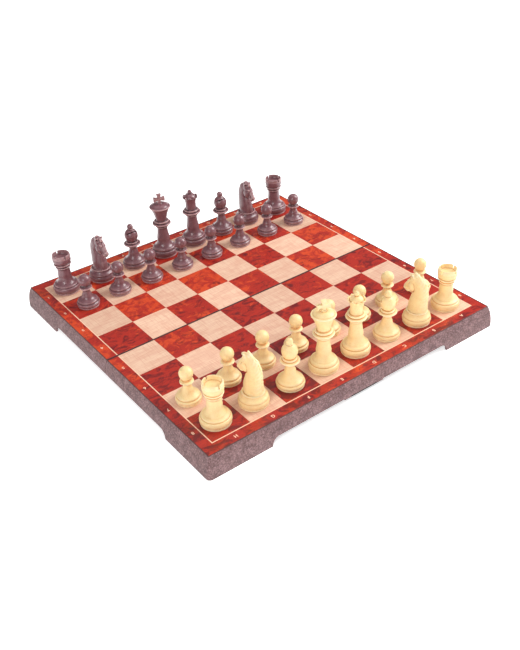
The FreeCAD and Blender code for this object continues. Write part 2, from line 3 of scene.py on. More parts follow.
import bmesh
import bpy
import numpy as np
from bpy.props import FloatProperty, FloatVectorProperty, IntProperty, PointerProperty
from mathutils import Matrix, Vector


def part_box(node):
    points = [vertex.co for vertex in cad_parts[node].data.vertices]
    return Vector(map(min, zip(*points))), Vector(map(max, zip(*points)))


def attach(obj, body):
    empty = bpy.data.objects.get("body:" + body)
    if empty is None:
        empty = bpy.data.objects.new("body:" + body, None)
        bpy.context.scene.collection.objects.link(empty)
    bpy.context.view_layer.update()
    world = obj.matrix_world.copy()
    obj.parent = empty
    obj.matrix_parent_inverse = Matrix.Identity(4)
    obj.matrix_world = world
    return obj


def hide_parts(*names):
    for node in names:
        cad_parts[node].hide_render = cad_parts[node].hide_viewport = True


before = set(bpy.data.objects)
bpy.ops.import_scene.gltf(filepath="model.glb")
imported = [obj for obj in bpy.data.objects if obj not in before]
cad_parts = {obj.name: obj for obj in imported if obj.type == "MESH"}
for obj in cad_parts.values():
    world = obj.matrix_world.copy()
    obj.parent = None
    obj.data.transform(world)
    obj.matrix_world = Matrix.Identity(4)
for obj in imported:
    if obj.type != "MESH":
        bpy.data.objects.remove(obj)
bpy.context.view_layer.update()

bl_info = {
    "name": "Folding chess set",
    "version": (1, 0, 0),
    "blender": (4, 5, 0),
    "location": "View3D > Sidebar > Chess set",
    "description": "Board print, turned pieces, case finishes and stage of a folding chess set",
    "category": "Add Mesh",
}

MM = 0.001
PANEL_LOW, PANEL_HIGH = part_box("near_play_panel")
PANEL_FLOOR, BOARD_TOP = PANEL_LOW.z, PANEL_HIGH.z
SEAM_EDGE, PRINT_EDGE_X, PRINT_EDGE_Y = -PANEL_HIGH.y, PANEL_HIGH.x, -PANEL_LOW.y
CASE_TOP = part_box("near_shell")[1].z
HALVES = {"near": -1, "far": 1}
FILES = "HGFEDCBA"
RANKS = {"near": "5678", "far": "4321"}
COLOURS = {"white": "cream", "black": "brown"}
PLATE_SOFTNESS = 0.15 * MM
INK_LIFT, INK_DEPTH = 0.02 * MM, 0.01 * MM
CAPITAL_SHARE = 1.38       # font size over the height of a capital
LETTER_WEIGHT = 0.035      # added to the strokes, as a share of the height
ARC_STEPS = 13
SHARP_ANGLE, HEAD_SHARP_ANGLE = 50, 75
SET_IN_HOLLOW = -0.25      # stored on parts that are set into a turned piece, which gives them some painted edge highlight
MERLON_GAP, MERLON_TURN = 9.5, 48
FLOOR_REACH, FLOOR_DEPTH = 6.0, 0.02


# ------------------------------------------------------------------ colours and settings
def linear(code):
    """Linear RGB of a screen colour written as six hex digits."""
    values = [int(code[i:i + 2], 16) / 255 for i in (0, 2, 4)]
    return tuple(v / 12.92 if v <= 0.04045 else ((v + 0.055) / 1.055) ** 2.4 for v in values)


def colour(label, code, text):
    return FloatVectorProperty(name=label, description=text, default=linear(code), subtype="COLOR",
                               size=3, min=0.0, max=1.0)


def length(label, millimetres, text):
    return FloatProperty(name=label, description=text, default=millimetres * MM, unit="LENGTH",
                         subtype="DISTANCE", min=0.0, precision=5)


def power(label, watts, text):
    return FloatProperty(name=label, description=text, default=watts, min=0.0, subtype="POWER",
                         unit="POWER")


class BoardSettings(bpy.types.PropertyGroup):
    """Printed play surface."""
    square: length("Square", 35.0, "Side of one square")
    print_depth: length("Print depth", 0.04, "How far the printed squares stand above the panel")
    hairline: length("Hairline", 0.06, "Joint between two squares")
    inlay: length("Inlay line", 0.9, "Width of the line round the squares")
    letter_height: length("Letter height", 3.1, "Height of the coordinates")
    maple: colour("Light square", "F4CDB0", "Ground of the light squares")
    maple_grain: colour("Light grain", "DFA48A", "Grain lines of the light squares")
    burl_red: colour("Burl red", "B42A1C", "Ground of the dark squares")
    burl_orange: colour("Burl orange", "DB4A22", "Bright patches of the burl")
    burl_dark: colour("Burl dark", "5E1018", "Blotches and knots of the burl")
    inlay_colour: colour("Inlay colour", "FFD3B4", "Line and coordinates")
    seed: IntProperty(name="Seed", description="Choice of veneer from square to square", default=7)


class PieceSettings(bpy.types.PropertyGroup):
    """The 32 pieces."""
    segments: IntProperty(name="Turning steps", description="Faces round a turned piece",
                          default=72, min=24, max=128)
    cream: colour("Cream", "FFE0A4", "Light pieces")
    # The crevice colours paint shade into the hollows and the edge colours paint highlights on
    # raised edges; both also tint the flecks.
    cream_crevice_shade_and_fleck: colour("Cream crevice", "CE7F34", "Hollows of the light pieces")
    cream_edge_highlight_and_fleck: colour("Cream edge", "FFF4D6", "Raised edges of the light pieces")
    brown: colour("Brown", "7E5057", "Dark pieces")
    # Painted shade in the hollows and painted highlights on raised edges of the dark pieces; both
    # also tint the flecks.
    brown_crevice_shade_and_fleck: colour("Brown crevice", "2E1C1E", "Hollows of the dark pieces")
    brown_edge_highlight_and_fleck: colour("Brown edge", "C89E9E", "Raised edges of the dark pieces")
    knight_step: length("Knight mesh size", 0.34, "Size of the faces on the knight's head")


class CaseSettings(bpy.types.PropertyGroup):
    """Case halves, trays and hardware."""
    composite: colour("Composite", "82605F", "Ground of the moulded case")
    composite_dark: colour("Dark fleck", "503638", "Dark flecks of the case")
    composite_light: colour("Light fleck", "A68488", "Light flecks of the case")
    # Painted shade: the dark rim stands in for the shade on the lip round the print.
    rim: colour("Rim", "4A2A28", "Thin rim round the print")
    tray: colour("Tray", "2B2526", "Trays and hinge links")
    tray_fleck: colour("Tray fleck", "4A4244", "Flecks of the trays and hinge links")
    latch: colour("Latch", "141214", "Latch")
    latch_fleck: colour("Latch fleck", "3A3438", "Flecks of the latch")
    steel: colour("Steel sheet", "B8B4AE", "Sheets under the print")
    fastener: colour("Fasteners", "D2CEC6", "Screws and pins")
    stain: colour("Steel stain", "5E5A56", "Dull patches of the steel")


class StageSettings(bpy.types.PropertyGroup):
    """Floor, lights and camera."""
    floor: colour("Floor", "FFFFFF", "Floor and surroundings")
    key_power: power("Key light", 24.0, "Light from the right")
    fill_power: power("Fill light", 9.0, "Weaker light from the left")
    top_power: power("Top light", 6.0, "Wide light from above")
    surround: FloatProperty(name="Surround", description="Strength of the white surroundings",
                            default=0.24, min=0.0)
    lens: FloatProperty(name="Lens", description="Focal length", default=47.38, min=1.0,
                        unit="CAMERA")


# ------------------------------------------------------------------ node helpers
def put(tree, kind, inputs=None, **settings):
    """Add a node. Inputs maps a socket's name or number to a value or to another node's socket."""
    item = tree.nodes.new(kind)
    for key, value in settings.items():
        setattr(item, key, value)
    for key, value in (inputs or {}).items():
        socket = item.inputs[key]
        if isinstance(value, bpy.types.NodeSocket):
            tree.links.new(value, socket)
        elif socket.type == "RGBA":
            socket.default_value = (*value[:3], 1.0)
        else:
            socket.default_value = value
    return item


def calc(tree, operation, *values):
    """Math node."""
    return put(tree, "ShaderNodeMath", dict(enumerate(values)), operation=operation).outputs[0]


def times(tree, first, second):
    return calc(tree, "MULTIPLY", first, second)


def blend(tree, factor, first, second, mode="MIX"):
    """Mix of two colours."""
    return put(tree, "ShaderNodeMix", {0: factor, 6: first, 7: second}, data_type="RGBA",
               blend_type=mode, clamp_factor=True).outputs[2]


def cloud(tree, vector, scale, detail=3.0, roughness=0.55, distortion=0.0):
    """Noise value."""
    return put(tree, "ShaderNodeTexNoise", {
        "Vector": vector, "Scale": scale, "Detail": detail, "Roughness": roughness,
        "Distortion": distortion}).outputs["Fac"]


def fibres(tree, vector, scales, detail, roughness, distortion=0.0, turn=(0.0, 0.0, 0.0)):
    """Noise value with its own scale along each axis."""
    place = put(tree, "ShaderNodeMapping", {"Vector": vector, "Scale": scales, "Rotation": turn})
    return cloud(tree, place.outputs[0], 1.0, detail, roughness, distortion)


def step(tree, value, low, high, start=0.0, end=1.0):
    """Smooth rise of a value between two limits."""
    return put(tree, "ShaderNodeMapRange", {
        "Value": value, "From Min": low, "From Max": high, "To Min": start, "To Max": end},
        interpolation_type="SMOOTHSTEP").outputs["Result"]


def tinted(tree, tone, tint, value, low, high, amount=1.0):
    """Tone that turns to the tint, by no more than the amount, as a value goes from low to high."""
    return blend(tree, step(tree, value, low, high, 0.0, amount), tone, tint)


def swayed(tree, value, noise, amount):
    """Value moved up and down by a noise."""
    return calc(tree, "ADD", value, times(tree, calc(tree, "SUBTRACT", noise, 0.5), amount))


def sliced(tree, place, choice, depth):
    """Coordinates moved up by the choice, so that each square shows another slice of a figure."""
    shift = put(tree, "ShaderNodeCombineXYZ", {2: times(tree, choice, depth)}).outputs[0]
    return put(tree, "ShaderNodeVectorMath", {0: place, 1: shift}).outputs[0]


def new_tree(kind, name, inputs, outputs):
    """Empty node group with named sockets. Returns the tree, its inputs and its results."""
    tree = bpy.data.node_groups.new(name, kind)
    for way, sockets in (("INPUT", inputs), ("OUTPUT", outputs)):
        for label, value in sockets.items():
            tree.interface.new_socket(label, in_out=way, socket_type="NodeSocket" + value)
    source = tree.nodes.new("NodeGroupInput").outputs
    return tree, source, tree.nodes.new("NodeGroupOutput").inputs


def shader_group(name, inputs, second):
    """Shader group that puts out a colour and, where it is named, a second value."""
    return new_tree("ShaderNodeTree", name, inputs, {"Color": "Color", **second})


def use(tree, name, inputs):
    """Place a shader group."""
    group = bpy.data.node_groups[name]
    return put(tree, "ShaderNodeGroup", inputs, node_tree=group).outputs


def flecks_group():
    """Fine two-sided flecks, as in a filled plastic."""
    tree, source, result = shader_group("flecks", {
        "Vector": "Vector", "Scale": "Float", "Ground": "Color", "Dark": "Color",
        "Light": "Color", "Amount": "Float"}, {"Height": "Float"})
    dark, light, amount = source["Dark"], source["Light"], source["Amount"]
    fine = cloud(tree, source["Vector"], source["Scale"], 2.0, 0.6)
    coarse = cloud(tree, source["Vector"], times(tree, source["Scale"], 0.21), 3.0, 0.6)
    broad = times(tree, amount, 0.65)
    tone = tinted(tree, source["Ground"], dark, coarse, 0.56, 0.36, broad)
    tone = tinted(tree, tone, light, coarse, 0.50, 0.70, broad)
    tone = tinted(tree, tone, dark, fine, 0.50, 0.38, amount)
    tone = tinted(tree, tone, light, fine, 0.53, 0.66, amount)
    tree.links.new(tone, result["Color"])
    tree.links.new(calc(tree, "ADD", fine, times(tree, coarse, 0.5)), result["Height"])


def burl_group():
    """Figure of a burl veneer: orange patches, dark blotches, grain, rings and round knots."""
    tree, source, result = shader_group("burl_figure", {
        "Vector": "Vector", "Choice": "Float", "Brightness": "Float", "Red": "Color",
        "Orange": "Color", "Dark": "Color"}, {"Height": "Float"})
    brightness, dark = source["Brightness"], source["Dark"]
    place = sliced(tree, source["Vector"], source["Choice"], 3.7)
    patches = cloud(tree, place, 95.0, 5.0, 0.62, 1.0)
    blotches = fibres(tree, place, (78.0, 124.8, 78.0), 6.0, 0.66, 1.3)
    grain = fibres(tree, place, (90.0, 420.0, 90.0), 3.0, 0.6, 1.0, (0.0, 0.0, 0.35))
    knots = put(tree, "ShaderNodeTexVoronoi",
                {"Vector": place, "Scale": 46.0, "Randomness": 1.0}, feature="F1").outputs
    pick = put(tree, "ShaderNodeSeparateColor", {0: knots["Color"]}).outputs[0]
    reach = swayed(tree, knots["Distance"], cloud(tree, place, 420.0, 2.0), 0.16)
    knot = step(tree, reach, 0.20, 0.07, 0.0, step(tree, pick, 0.52, 0.60))
    ring = calc(tree, "SINE", times(tree, reach, 62.0))
    ring = step(tree, ring, 0.0, 0.9, 0.0, step(tree, reach, 0.52, 0.20))
    shade = calc(tree, "SUBTRACT", blotches, times(tree, brightness, 0.5))
    tone = tinted(tree, source["Red"], source["Orange"],
                  calc(tree, "ADD", patches, brightness), 0.50, 0.66)
    tone = tinted(tree, tone, dark, shade, 0.50, 0.66, 0.80)
    tone = tinted(tree, tone, dark, grain, 0.50, 0.70, 0.26)
    tone = blend(tree, times(tree, ring, 0.26), tone, dark)
    tone = blend(tree, times(tree, knot, 0.85), tone, dark)
    tree.links.new(tone, result["Color"])
    tree.links.new(calc(tree, "SUBTRACT", grain, knot), result["Height"])


def hollow_group():
    """Painted shade in hollows and a painted highlight on raised edges, from the piece's own
    attribute.
    """
    tree, source, result = shader_group("painted_shade_and_highlight", {
        "Hollow": "Float", "Vector": "Vector", "Ground": "Color", "Deep": "Color",
        "Edge Highlight": "Color", "Deep Amount": "Float", "Worn Amount": "Float", "Mottle": "Float"}, {})
    uneven = swayed(tree, source["Hollow"], cloud(tree, source["Vector"], 320.0, 3.0),
                    source["Mottle"])
    # Painted shade: the hollows turn to the deep tone.
    tone = tinted(tree, source["Ground"], source["Deep"], uneven, 0.0, 0.42,
                  source["Deep Amount"])
    # Painted highlight: raised edges turn to the light edge tone.
    tone = tinted(tree, tone, source["Edge Highlight"], uneven, -0.08, -0.42, source["Worn Amount"])
    tree.links.new(tone, result["Color"])


# ------------------------------------------------------------------ materials
def start_material(name):
    """Empty material. Returns its tree, its shader's inputs and Object coordinates."""
    item = bpy.data.materials.get(name) or bpy.data.materials.new(name)
    item.use_nodes = True
    tree = item.node_tree
    tree.nodes.clear()
    shader = put(tree, "ShaderNodeBsdfPrincipled")
    put(tree, "ShaderNodeOutputMaterial", {"Surface": shader.outputs[0]})
    return tree, shader.inputs, put(tree, "ShaderNodeTexCoord").outputs["Object"]


def finish_material(tree, shader, tone, roughness, height, depth, strength):
    """Link a shader's colour and roughness, and the relief of a height."""
    tree.links.new(tone, shader["Base Color"])
    tree.links.new(roughness, shader["Roughness"])
    bump = put(tree, "ShaderNodeBump", {"Height": height, "Distance": depth,
                                        "Strength": strength})
    tree.links.new(bump.outputs["Normal"], shader["Normal"])


def attribute(tree, name):
    return put(tree, "ShaderNodeAttribute", attribute_name=name).outputs["Fac"]


def maple_material(board):
    """Straight-grained pale veneer with faint cross figure."""
    tree, shader, place = start_material("light_square_print")
    choice = attribute(tree, "veneer")
    place = sliced(tree, place, choice, 2.3)
    lines = fibres(tree, place, (55.0, 1500.0, 55.0), 3.0, 0.65, 0.0, (0.0, 0.0, 0.01))
    cross = fibres(tree, place, (1100.0, 70.0, 70.0), 2.0, 0.5)
    broad = fibres(tree, place, (40.0, 130.0, 40.0), 3.0, 0.5, 0.4)
    tone = tinted(tree, board.maple, board.maple_grain, broad, 0.38, 0.66, 0.42)
    tone = tinted(tree, tone, board.maple_grain, lines, 0.48, 0.64, 0.66)
    tone = tinted(tree, tone, board.maple_grain, cross, 0.50, 0.64, 0.50)
    level = step(tree, choice, 0.0, 1.0, 0.90, 1.05)
    grey = put(tree, "ShaderNodeCombineColor", {0: level, 1: level, 2: level}).outputs[0]
    finish_material(tree, shader, blend(tree, 1.0, tone, grey, "MULTIPLY"),
                    step(tree, lines, 0.3, 0.7, 0.36, 0.46), lines, 0.02 * MM, 0.5)


def burl_material(board, name, brightness, patchiness):
    """Burl veneer, a little darker towards the near edge of the board."""
    tree, shader, place = start_material(name)
    choice = attribute(tree, "veneer")
    along = put(tree, "ShaderNodeSeparateXYZ", {0: place}).outputs[1]
    level = step(tree, swayed(tree, choice, cloud(tree, place, 24.0, 1.0), patchiness),
                 0.0, 1.0, brightness - 0.10, brightness + 0.05)
    level = calc(tree, "ADD", level, step(tree, along, -0.13, 0.02, -0.10, 0.03))
    figure = use(tree, "burl_figure", {
        "Vector": place, "Choice": choice, "Brightness": level, "Red": board.burl_red,
        "Orange": board.burl_orange, "Dark": board.burl_dark})
    finish_material(tree, shader, figure["Color"],
                    step(tree, figure["Height"], 0.2, 0.8, 0.36, 0.28),
                    figure["Height"], 0.02 * MM, 0.4)


def ink_material(board):
    """Pale ink with thin patches."""
    tree, shader, place = start_material("inlay_print")
    patch = cloud(tree, place, 500.0, 3.0)
    tone = tinted(tree, board.inlay_colour, board.maple_grain, patch, 0.45, 0.70, 0.35)
    finish_material(tree, shader, tone, step(tree, patch, 0.3, 0.7, 0.35, 0.45), patch,
                    0.01 * MM, 0.3)


def piece_material(name, tones, amounts, roughness, glow, coat):
    """Moulded plastic of a piece. Tones are the ground's, the painted shade of the hollows and the
    painted highlight of the edges, and amounts are of the last two and of their mottling."""
    tree, shader, place = start_material(name)
    ground, dark_fleck_and_shade, light_fleck_and_highlight = tones
    flecks = use(tree, "flecks", {"Vector": place, "Scale": 1500.0, "Ground": ground,
                                  "Dark": dark_fleck_and_shade, "Light": light_fleck_and_highlight, "Amount": 0.10})
    # Painted shade in the hollows and painted highlight on the raised edges.
    tone = use(tree, "painted_shade_and_highlight", {
        "Vector": place, "Hollow": attribute(tree, "hollow"), "Ground": flecks["Color"],
        "Deep": dark_fleck_and_shade, "Edge Highlight": light_fleck_and_highlight, "Deep Amount": amounts[0], "Worn Amount": amounts[1],
        "Mottle": amounts[2]})
    satin = cloud(tree, place, 260.0, 4.0, 0.6)
    finish_material(tree, shader, tone["Color"],
                    step(tree, satin, 0.3, 0.7, roughness, roughness + 0.10),
                    calc(tree, "ADD", times(tree, flecks["Height"], 0.5), satin), 0.06 * MM, 0.35)
    for label, value in (("Coat Weight", coat), ("Coat Roughness", 0.28),
                         ("Subsurface Weight", glow), ("Subsurface Scale", 2.2 * MM),
                         ("Subsurface Radius", (1.0, 0.55, 0.25))):
        shader[label].default_value = value


def case_material(case):
    """Flecked composite with a dark rim painted along its top as shade on the lip, a darker band
    along the bottom, and scuffs.
    """
    tree, shader, place = start_material("case_composite")
    flecks = use(tree, "flecks", {
        "Vector": place, "Scale": 760.0, "Ground": case.composite, "Dark": case.composite_dark,
        "Light": case.composite_light, "Amount": 0.60})
    height = put(tree, "ShaderNodeSeparateXYZ", {0: place}).outputs[2]
    grit = cloud(tree, place, 700.0, 3.0)
    ragged = calc(tree, "ADD", height, times(tree, grit, 0.6 * MM))
    scuff = fibres(tree, place, (90.0, 90.0, 420.0), 5.0, 0.7)
    tone = tinted(tree, flecks["Color"], case.composite_light, scuff, 0.60, 0.74, 0.28)
    # Darker towards the bottom of the case.
    tone = tinted(tree, tone, case.composite_dark, ragged, 1.6 * MM, 0.4 * MM, 0.45)
    # Painted shade: the top of the case turns to the dark rim colour.
    tone = tinted(tree, tone, case.rim, height, CASE_TOP - 0.5 * MM, CASE_TOP - 0.2 * MM, 0.85)
    finish_material(tree, shader, tone, step(tree, grit, 0.3, 0.7, 0.50, 0.66),
                    flecks["Height"], 0.12 * MM, 0.5)


def plain_plastic_material(name, ground, light, roughness):
    """Dark moulded plastic with a spark-eroded texture."""
    tree, shader, place = start_material(name)
    flecks = use(tree, "flecks", {"Vector": place, "Scale": 2200.0, "Ground": ground,
                                  "Dark": ground, "Light": light, "Amount": 0.35})
    wipe = cloud(tree, place, 60.0, 4.0)
    finish_material(tree, shader, flecks["Color"],
                    step(tree, wipe, 0.3, 0.7, roughness, roughness + 0.18),
                    flecks["Height"], 0.10 * MM, 0.5)


def metal_material(name, ground, stain, roughness, brushed):
    """Plated steel, brushed along one axis or turned."""
    tree, shader, place = start_material(name)
    streaks = fibres(tree, place, brushed, 4.0, 0.6)
    tone = tinted(tree, ground, stain, cloud(tree, place, 90.0, 4.0), 0.45, 0.75, 0.5)
    finish_material(tree, shader, tone, step(tree, streaks, 0.3, 0.7, roughness, roughness + 0.22),
                    streaks, 0.02 * MM, 0.5)
    shader["Metallic"].default_value = 1.0


def material(name):
    """Material by name, made with all the others when it is first asked for."""
    if "burl_figure" not in bpy.data.node_groups:
        scene = bpy.context.scene
        board, case, pieces = scene.chess_board, scene.chess_case, scene.chess_pieces
        flecks_group()
        burl_group()
        hollow_group()
        maple_material(board)
        burl_material(board, "dark_square_print", 0.0, 0.6)
        burl_material(board, "border_print", 0.04, 5.0)
        ink_material(board)
        # Both piece plastics carry painted shade in their hollows and painted highlights on raised
        # edges.
        piece_material("cream_plastic", (pieces.cream, pieces.cream_crevice_shade_and_fleck, pieces.cream_edge_highlight_and_fleck),
                       (0.90, 0.45, 0.12), 0.40, 0.10, 0.08)
        piece_material("brown_plastic", (pieces.brown, pieces.brown_crevice_shade_and_fleck, pieces.brown_edge_highlight_and_fleck),
                       (0.90, 0.80, 0.32), 0.30, 0.0, 0.60)
        case_material(case)
        plain_plastic_material("tray_plastic", case.tray, case.tray_fleck, 0.45)
        plain_plastic_material("latch_plastic", case.latch, case.latch_fleck, 0.38)
        metal_material("sheet_steel", case.steel, case.stain, 0.30, (40.0, 2400.0, 40.0))
        metal_material("fastener_steel", case.fastener, case.stain, 0.22,
                       (900.0, 900.0, 2400.0))
    return bpy.data.materials[name]


# ------------------------------------------------------------------ mesh helpers
def new_object(name, mesh):
    piece = bpy.data.objects.new(name, mesh)
    bpy.context.scene.collection.objects.link(piece)
    return piece


def evaluated_mesh(piece):
    """Plain mesh of an object with its modifiers. The object is then removed."""
    graph = bpy.context.evaluated_depsgraph_get()
    mesh = bpy.data.meshes.new_from_object(piece.evaluated_get(graph), depsgraph=graph,
                                           preserve_all_data_layers=True)
    bpy.data.objects.remove(piece)
    return mesh


def made_mesh(work, name):
    """Mesh of a bmesh, which is then freed."""
    mesh = bpy.data.meshes.new(name)
    work.to_mesh(mesh)
    work.free()
    return mesh


def tidy_mesh(mesh, angle):
    """Outward faces, smooth except across edges sharper than the angle."""
    work = bmesh.new()
    work.from_mesh(mesh)
    bmesh.ops.remove_doubles(work, verts=work.verts, dist=1e-7)
    bmesh.ops.dissolve_degenerate(work, edges=work.edges, dist=1e-7)
    bmesh.ops.recalc_face_normals(work, faces=work.faces)
    for face in work.faces:
        face.smooth = True
    work.to_mesh(mesh)
    work.free()
    mesh.set_sharp_from_angle(angle=math.radians(angle))


def merged(meshes):
    """The first mesh with the others joined to it, with their materials and attributes."""
    parts = [new_object("part", mesh) for mesh in meshes]
    with bpy.context.temp_override(active_object=parts[0], object=parts[0],
                                   selected_objects=parts, selected_editable_objects=parts):
        bpy.ops.object.join()
    bpy.data.objects.remove(parts[0])
    return meshes[0]


def block_mesh(low, high, soft=0.0):
    """Box between two corners, with its edges rounded by soft."""
    work = bmesh.new()
    bmesh.ops.create_cube(work, size=1.0)
    size = Vector(high) - Vector(low)
    centre = (Vector(high) + Vector(low)) / 2
    for vertex in work.verts:
        vertex.co = Vector([c + v * s for c, v, s in zip(centre, vertex.co, size)])
    if soft:
        bmesh.ops.bevel(work, geom=list(work.edges), offset=soft, segments=2, affect="EDGES",
                        profile=0.5)
    return made_mesh(work, "block")


def run_tree(name, base, tree, values):
    """Mesh that a Geometry Nodes tree makes from a base mesh and its inputs by name."""
    piece = new_object(name, base)
    modifier = piece.modifiers.new(tree.name, "NODES")
    modifier.node_group = tree
    places = {item.name: item.identifier for item in tree.interface.items_tree
              if item.item_type == "SOCKET" and item.in_out == "INPUT"}
    for label, value in values.items():
        modifier[places[label]] = value
    return evaluated_mesh(piece)


def geometry_tree(name, inputs):
    return new_tree("GeometryNodeTree", name, {"Geometry": "Geometry", **inputs},
                    {"Geometry": "Geometry"})


def realized(tree, geometry, finish):
    """Geometry with its copies made real and its material set."""
    real = put(tree, "GeometryNodeRealizeInstances", {"Geometry": geometry}).outputs[0]
    return put(tree, "GeometryNodeSetMaterial", {"Geometry": real, "Material": finish}).outputs[0]


def grid_place(tree, columns, rows, sizes=None):
    """Grid of points, and the column and the row of each."""
    grid = put(tree, "GeometryNodeMeshGrid",
               {"Vertices X": columns, "Vertices Y": rows, **(sizes or {})})
    index = put(tree, "GeometryNodeInputIndex").outputs[0]
    column = calc(tree, "DIVIDE", calc(tree, "ADD", index, 0.5), rows)
    return (grid.outputs["Mesh"], calc(tree, "FLOOR", column),
            calc(tree, "MODULO", index, rows))


# ------------------------------------------------------------------ board print
def checker_tree():
    """Squares of one case half, light and dark in turn, each with its own choice of veneer."""
    tree, source, result = geometry_tree("checker_squares", {
        "Square": "Float", "Hairline": "Float", "Depth": "Float", "Columns": "Int",
        "Rows": "Int", "Centre": "Vector", "Seed": "Int", "Light": "Material",
        "Dark": "Material"})
    sizes = {"Size " + axis: times(tree, calc(tree, "SUBTRACT", source[label], 1.0),
                                   source["Square"])
             for axis, label in (("X", "Columns"), ("Y", "Rows"))}
    grid, column, row = grid_place(tree, source["Columns"], source["Rows"], sizes)
    parity = calc(tree, "MODULO", calc(tree, "ADD", column, row), 2.0)
    side = calc(tree, "SUBTRACT", source["Square"], source["Hairline"])
    size = put(tree, "ShaderNodeCombineXYZ", {0: side, 1: side, 2: source["Depth"]})
    tile = put(tree, "GeometryNodeMeshCube", {"Size": size.outputs[0]})
    both = put(tree, "GeometryNodeJoinGeometry")
    for label, chosen in (("Light", parity), ("Dark", calc(tree, "SUBTRACT", 1.0, parity))):
        copies = put(tree, "GeometryNodeInstanceOnPoints", {
            "Points": grid, "Selection": chosen, "Instance": tile.outputs["Mesh"]})
        choice = put(tree, "FunctionNodeRandomValue", {"Seed": source["Seed"]},
                     data_type="FLOAT")
        named = put(tree, "GeometryNodeStoreNamedAttribute", {
            "Geometry": copies.outputs[0], "Name": "veneer", "Value": choice.outputs[1]},
            data_type="FLOAT", domain="INSTANCE")
        tree.links.new(realized(tree, named.outputs[0], source[label]), both.inputs[0])
    moved = put(tree, "GeometryNodeTransform", {"Geometry": both.outputs[0],
                                                "Translation": source["Centre"]})
    tree.links.new(moved.outputs[0], result[0])
    return tree


def finished(piece, body, slot, *nodes):
    """Attach a finished piece to the body it rides on and hide the nodes it stands for. The slot is
    not used.
    """
    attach(piece, body)
    if nodes:
        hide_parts(*nodes)


class CHESS_OT_board_print(bpy.types.Operator):
    """Make the printed play surface of both case halves"""
    bl_idname = "chess_set.board_print"
    bl_label = "Board print"

    def execute(self, context):
        board = context.scene.chess_board
        tree = checker_tree()
        half_grid = 4 * board.square
        line = half_grid + board.inlay
        squares_floor = BOARD_TOP - board.print_depth
        for half, side in HALVES.items():
            seam, outer = side * SEAM_EDGE, side * (SEAM_EDGE + half_grid)
            low, high = sorted((seam, side * PRINT_EDGE_Y))
            plate = block_mesh((-PRINT_EDGE_X, low, PANEL_FLOOR),
                               (PRINT_EDGE_X, high, squares_floor), PLATE_SOFTNESS)
            plate.materials.append(material("border_print"))
            veneer = plate.attributes.new("veneer", "FLOAT", "POINT")
            veneer.data.foreach_set("value", [0.5] * len(plate.vertices))
            squares = run_tree("squares", bpy.data.meshes.new("empty"), tree, {
                "Square": board.square, "Hairline": board.hairline, "Depth": board.print_depth,
                "Columns": 8, "Rows": 4, "Seed": board.seed + side,
                "Centre": (0.0, side * (SEAM_EDGE + half_grid / 2),
                           BOARD_TOP - board.print_depth / 2),
                "Light": material("light_square_print"),
                "Dark": material("dark_square_print")})
            meshes = [plate, squares]
            for left, right, near, far in ((-line, line, outer, outer + side * board.inlay),
                                           (-line, -half_grid, seam, outer),
                                           (half_grid, line, seam, outer)):
                low, high = sorted((near, far))
                meshes.append(block_mesh((left, low, squares_floor), (right, high, BOARD_TOP)))
                meshes[-1].materials.append(material("inlay_print"))
            finished(new_object(half + "_board_print", merged(meshes)), half + "_case",
                     "board_print", half + "_play_panel")
        return {"FINISHED"}


def glyph_mesh(character, height, place):
    """Flat letter or number, centred on its place and turned to face the far player."""
    curve = bpy.data.curves.new(character, "FONT")
    curve.body = character
    curve.size = height * CAPITAL_SHARE
    curve.offset = height * LETTER_WEIGHT
    curve.extrude = INK_DEPTH
    text = new_object(character, curve)
    bpy.context.view_layer.update()
    mesh = evaluated_mesh(text)
    corners = np.array([v.co for v in mesh.vertices])
    middle = Vector((corners.max(0) + corners.min(0)) / 2)
    mesh.transform(Matrix.Translation(place) @ Matrix.Rotation(math.pi, 4, "Z")
                   @ Matrix.Translation(-middle))
    return mesh


class CHESS_OT_coordinates(bpy.types.Operator):
    """Make the letters and numbers round the squares"""
    bl_idname = "chess_set.coordinates"
    bl_label = "Coordinates"

    def execute(self, context):
        board = context.scene.chess_board
        line = 4 * board.square + board.inlay
        edge_x, edge_y = (line + PRINT_EDGE_X) / 2, (SEAM_EDGE + line + PRINT_EDGE_Y) / 2
        level = BOARD_TOP - board.print_depth + INK_LIFT
        for half, side in HALVES.items():
            places = [(letter, (column - 3.5) * board.square, side * edge_y)
                      for column, letter in enumerate(FILES)]
            places += [(digit, x, side * (SEAM_EDGE + (row + 0.5) * board.square))
                       for row, digit in enumerate(RANKS[half]) for x in (-edge_x, edge_x)]
            meshes = [glyph_mesh(character, board.letter_height, (x, y, level))
                      for character, x, y in places]
            marks = merged(meshes)
            marks.materials.append(material("inlay_print"))
            finished(new_object(half + "_coordinates", marks), half + "_case", "board_print")
        return {"FINISHED"}


# ------------------------------------------------------------------ turned pieces
def outline_of(corners):
    """Half outline of a turned piece in millimetres, from the axis below to the axis on top.

    A corner is a radius and a height, and a third number makes the way to it an arc that bows
    to the right by so much.
    """
    points = []
    for radius, height, *sag in corners:
        end = np.array((radius, height), float)
        if not sag:
            points.append(end)
            continue
        sag, start = sag[0], points[-1]
        chord = end - start
        size = np.hypot(*chord)
        across = np.array((chord[1], -chord[0])) / size
        reach = (size ** 2 / 4 + sag ** 2) / (2 * abs(sag))
        half = math.asin(min(1.0, size / 2 / reach))
        if abs(sag) > size / 2:
            half = math.pi - half
        centre = (start + end) / 2 + across * (sag - math.copysign(reach, sag))
        for turn in np.linspace(-half, half, ARC_STEPS)[1:]:
            ray = across * math.copysign(1, sag) * math.cos(turn) + chord / size * math.sin(turn)
            points.append(centre + ray * reach)
    return np.array(points)


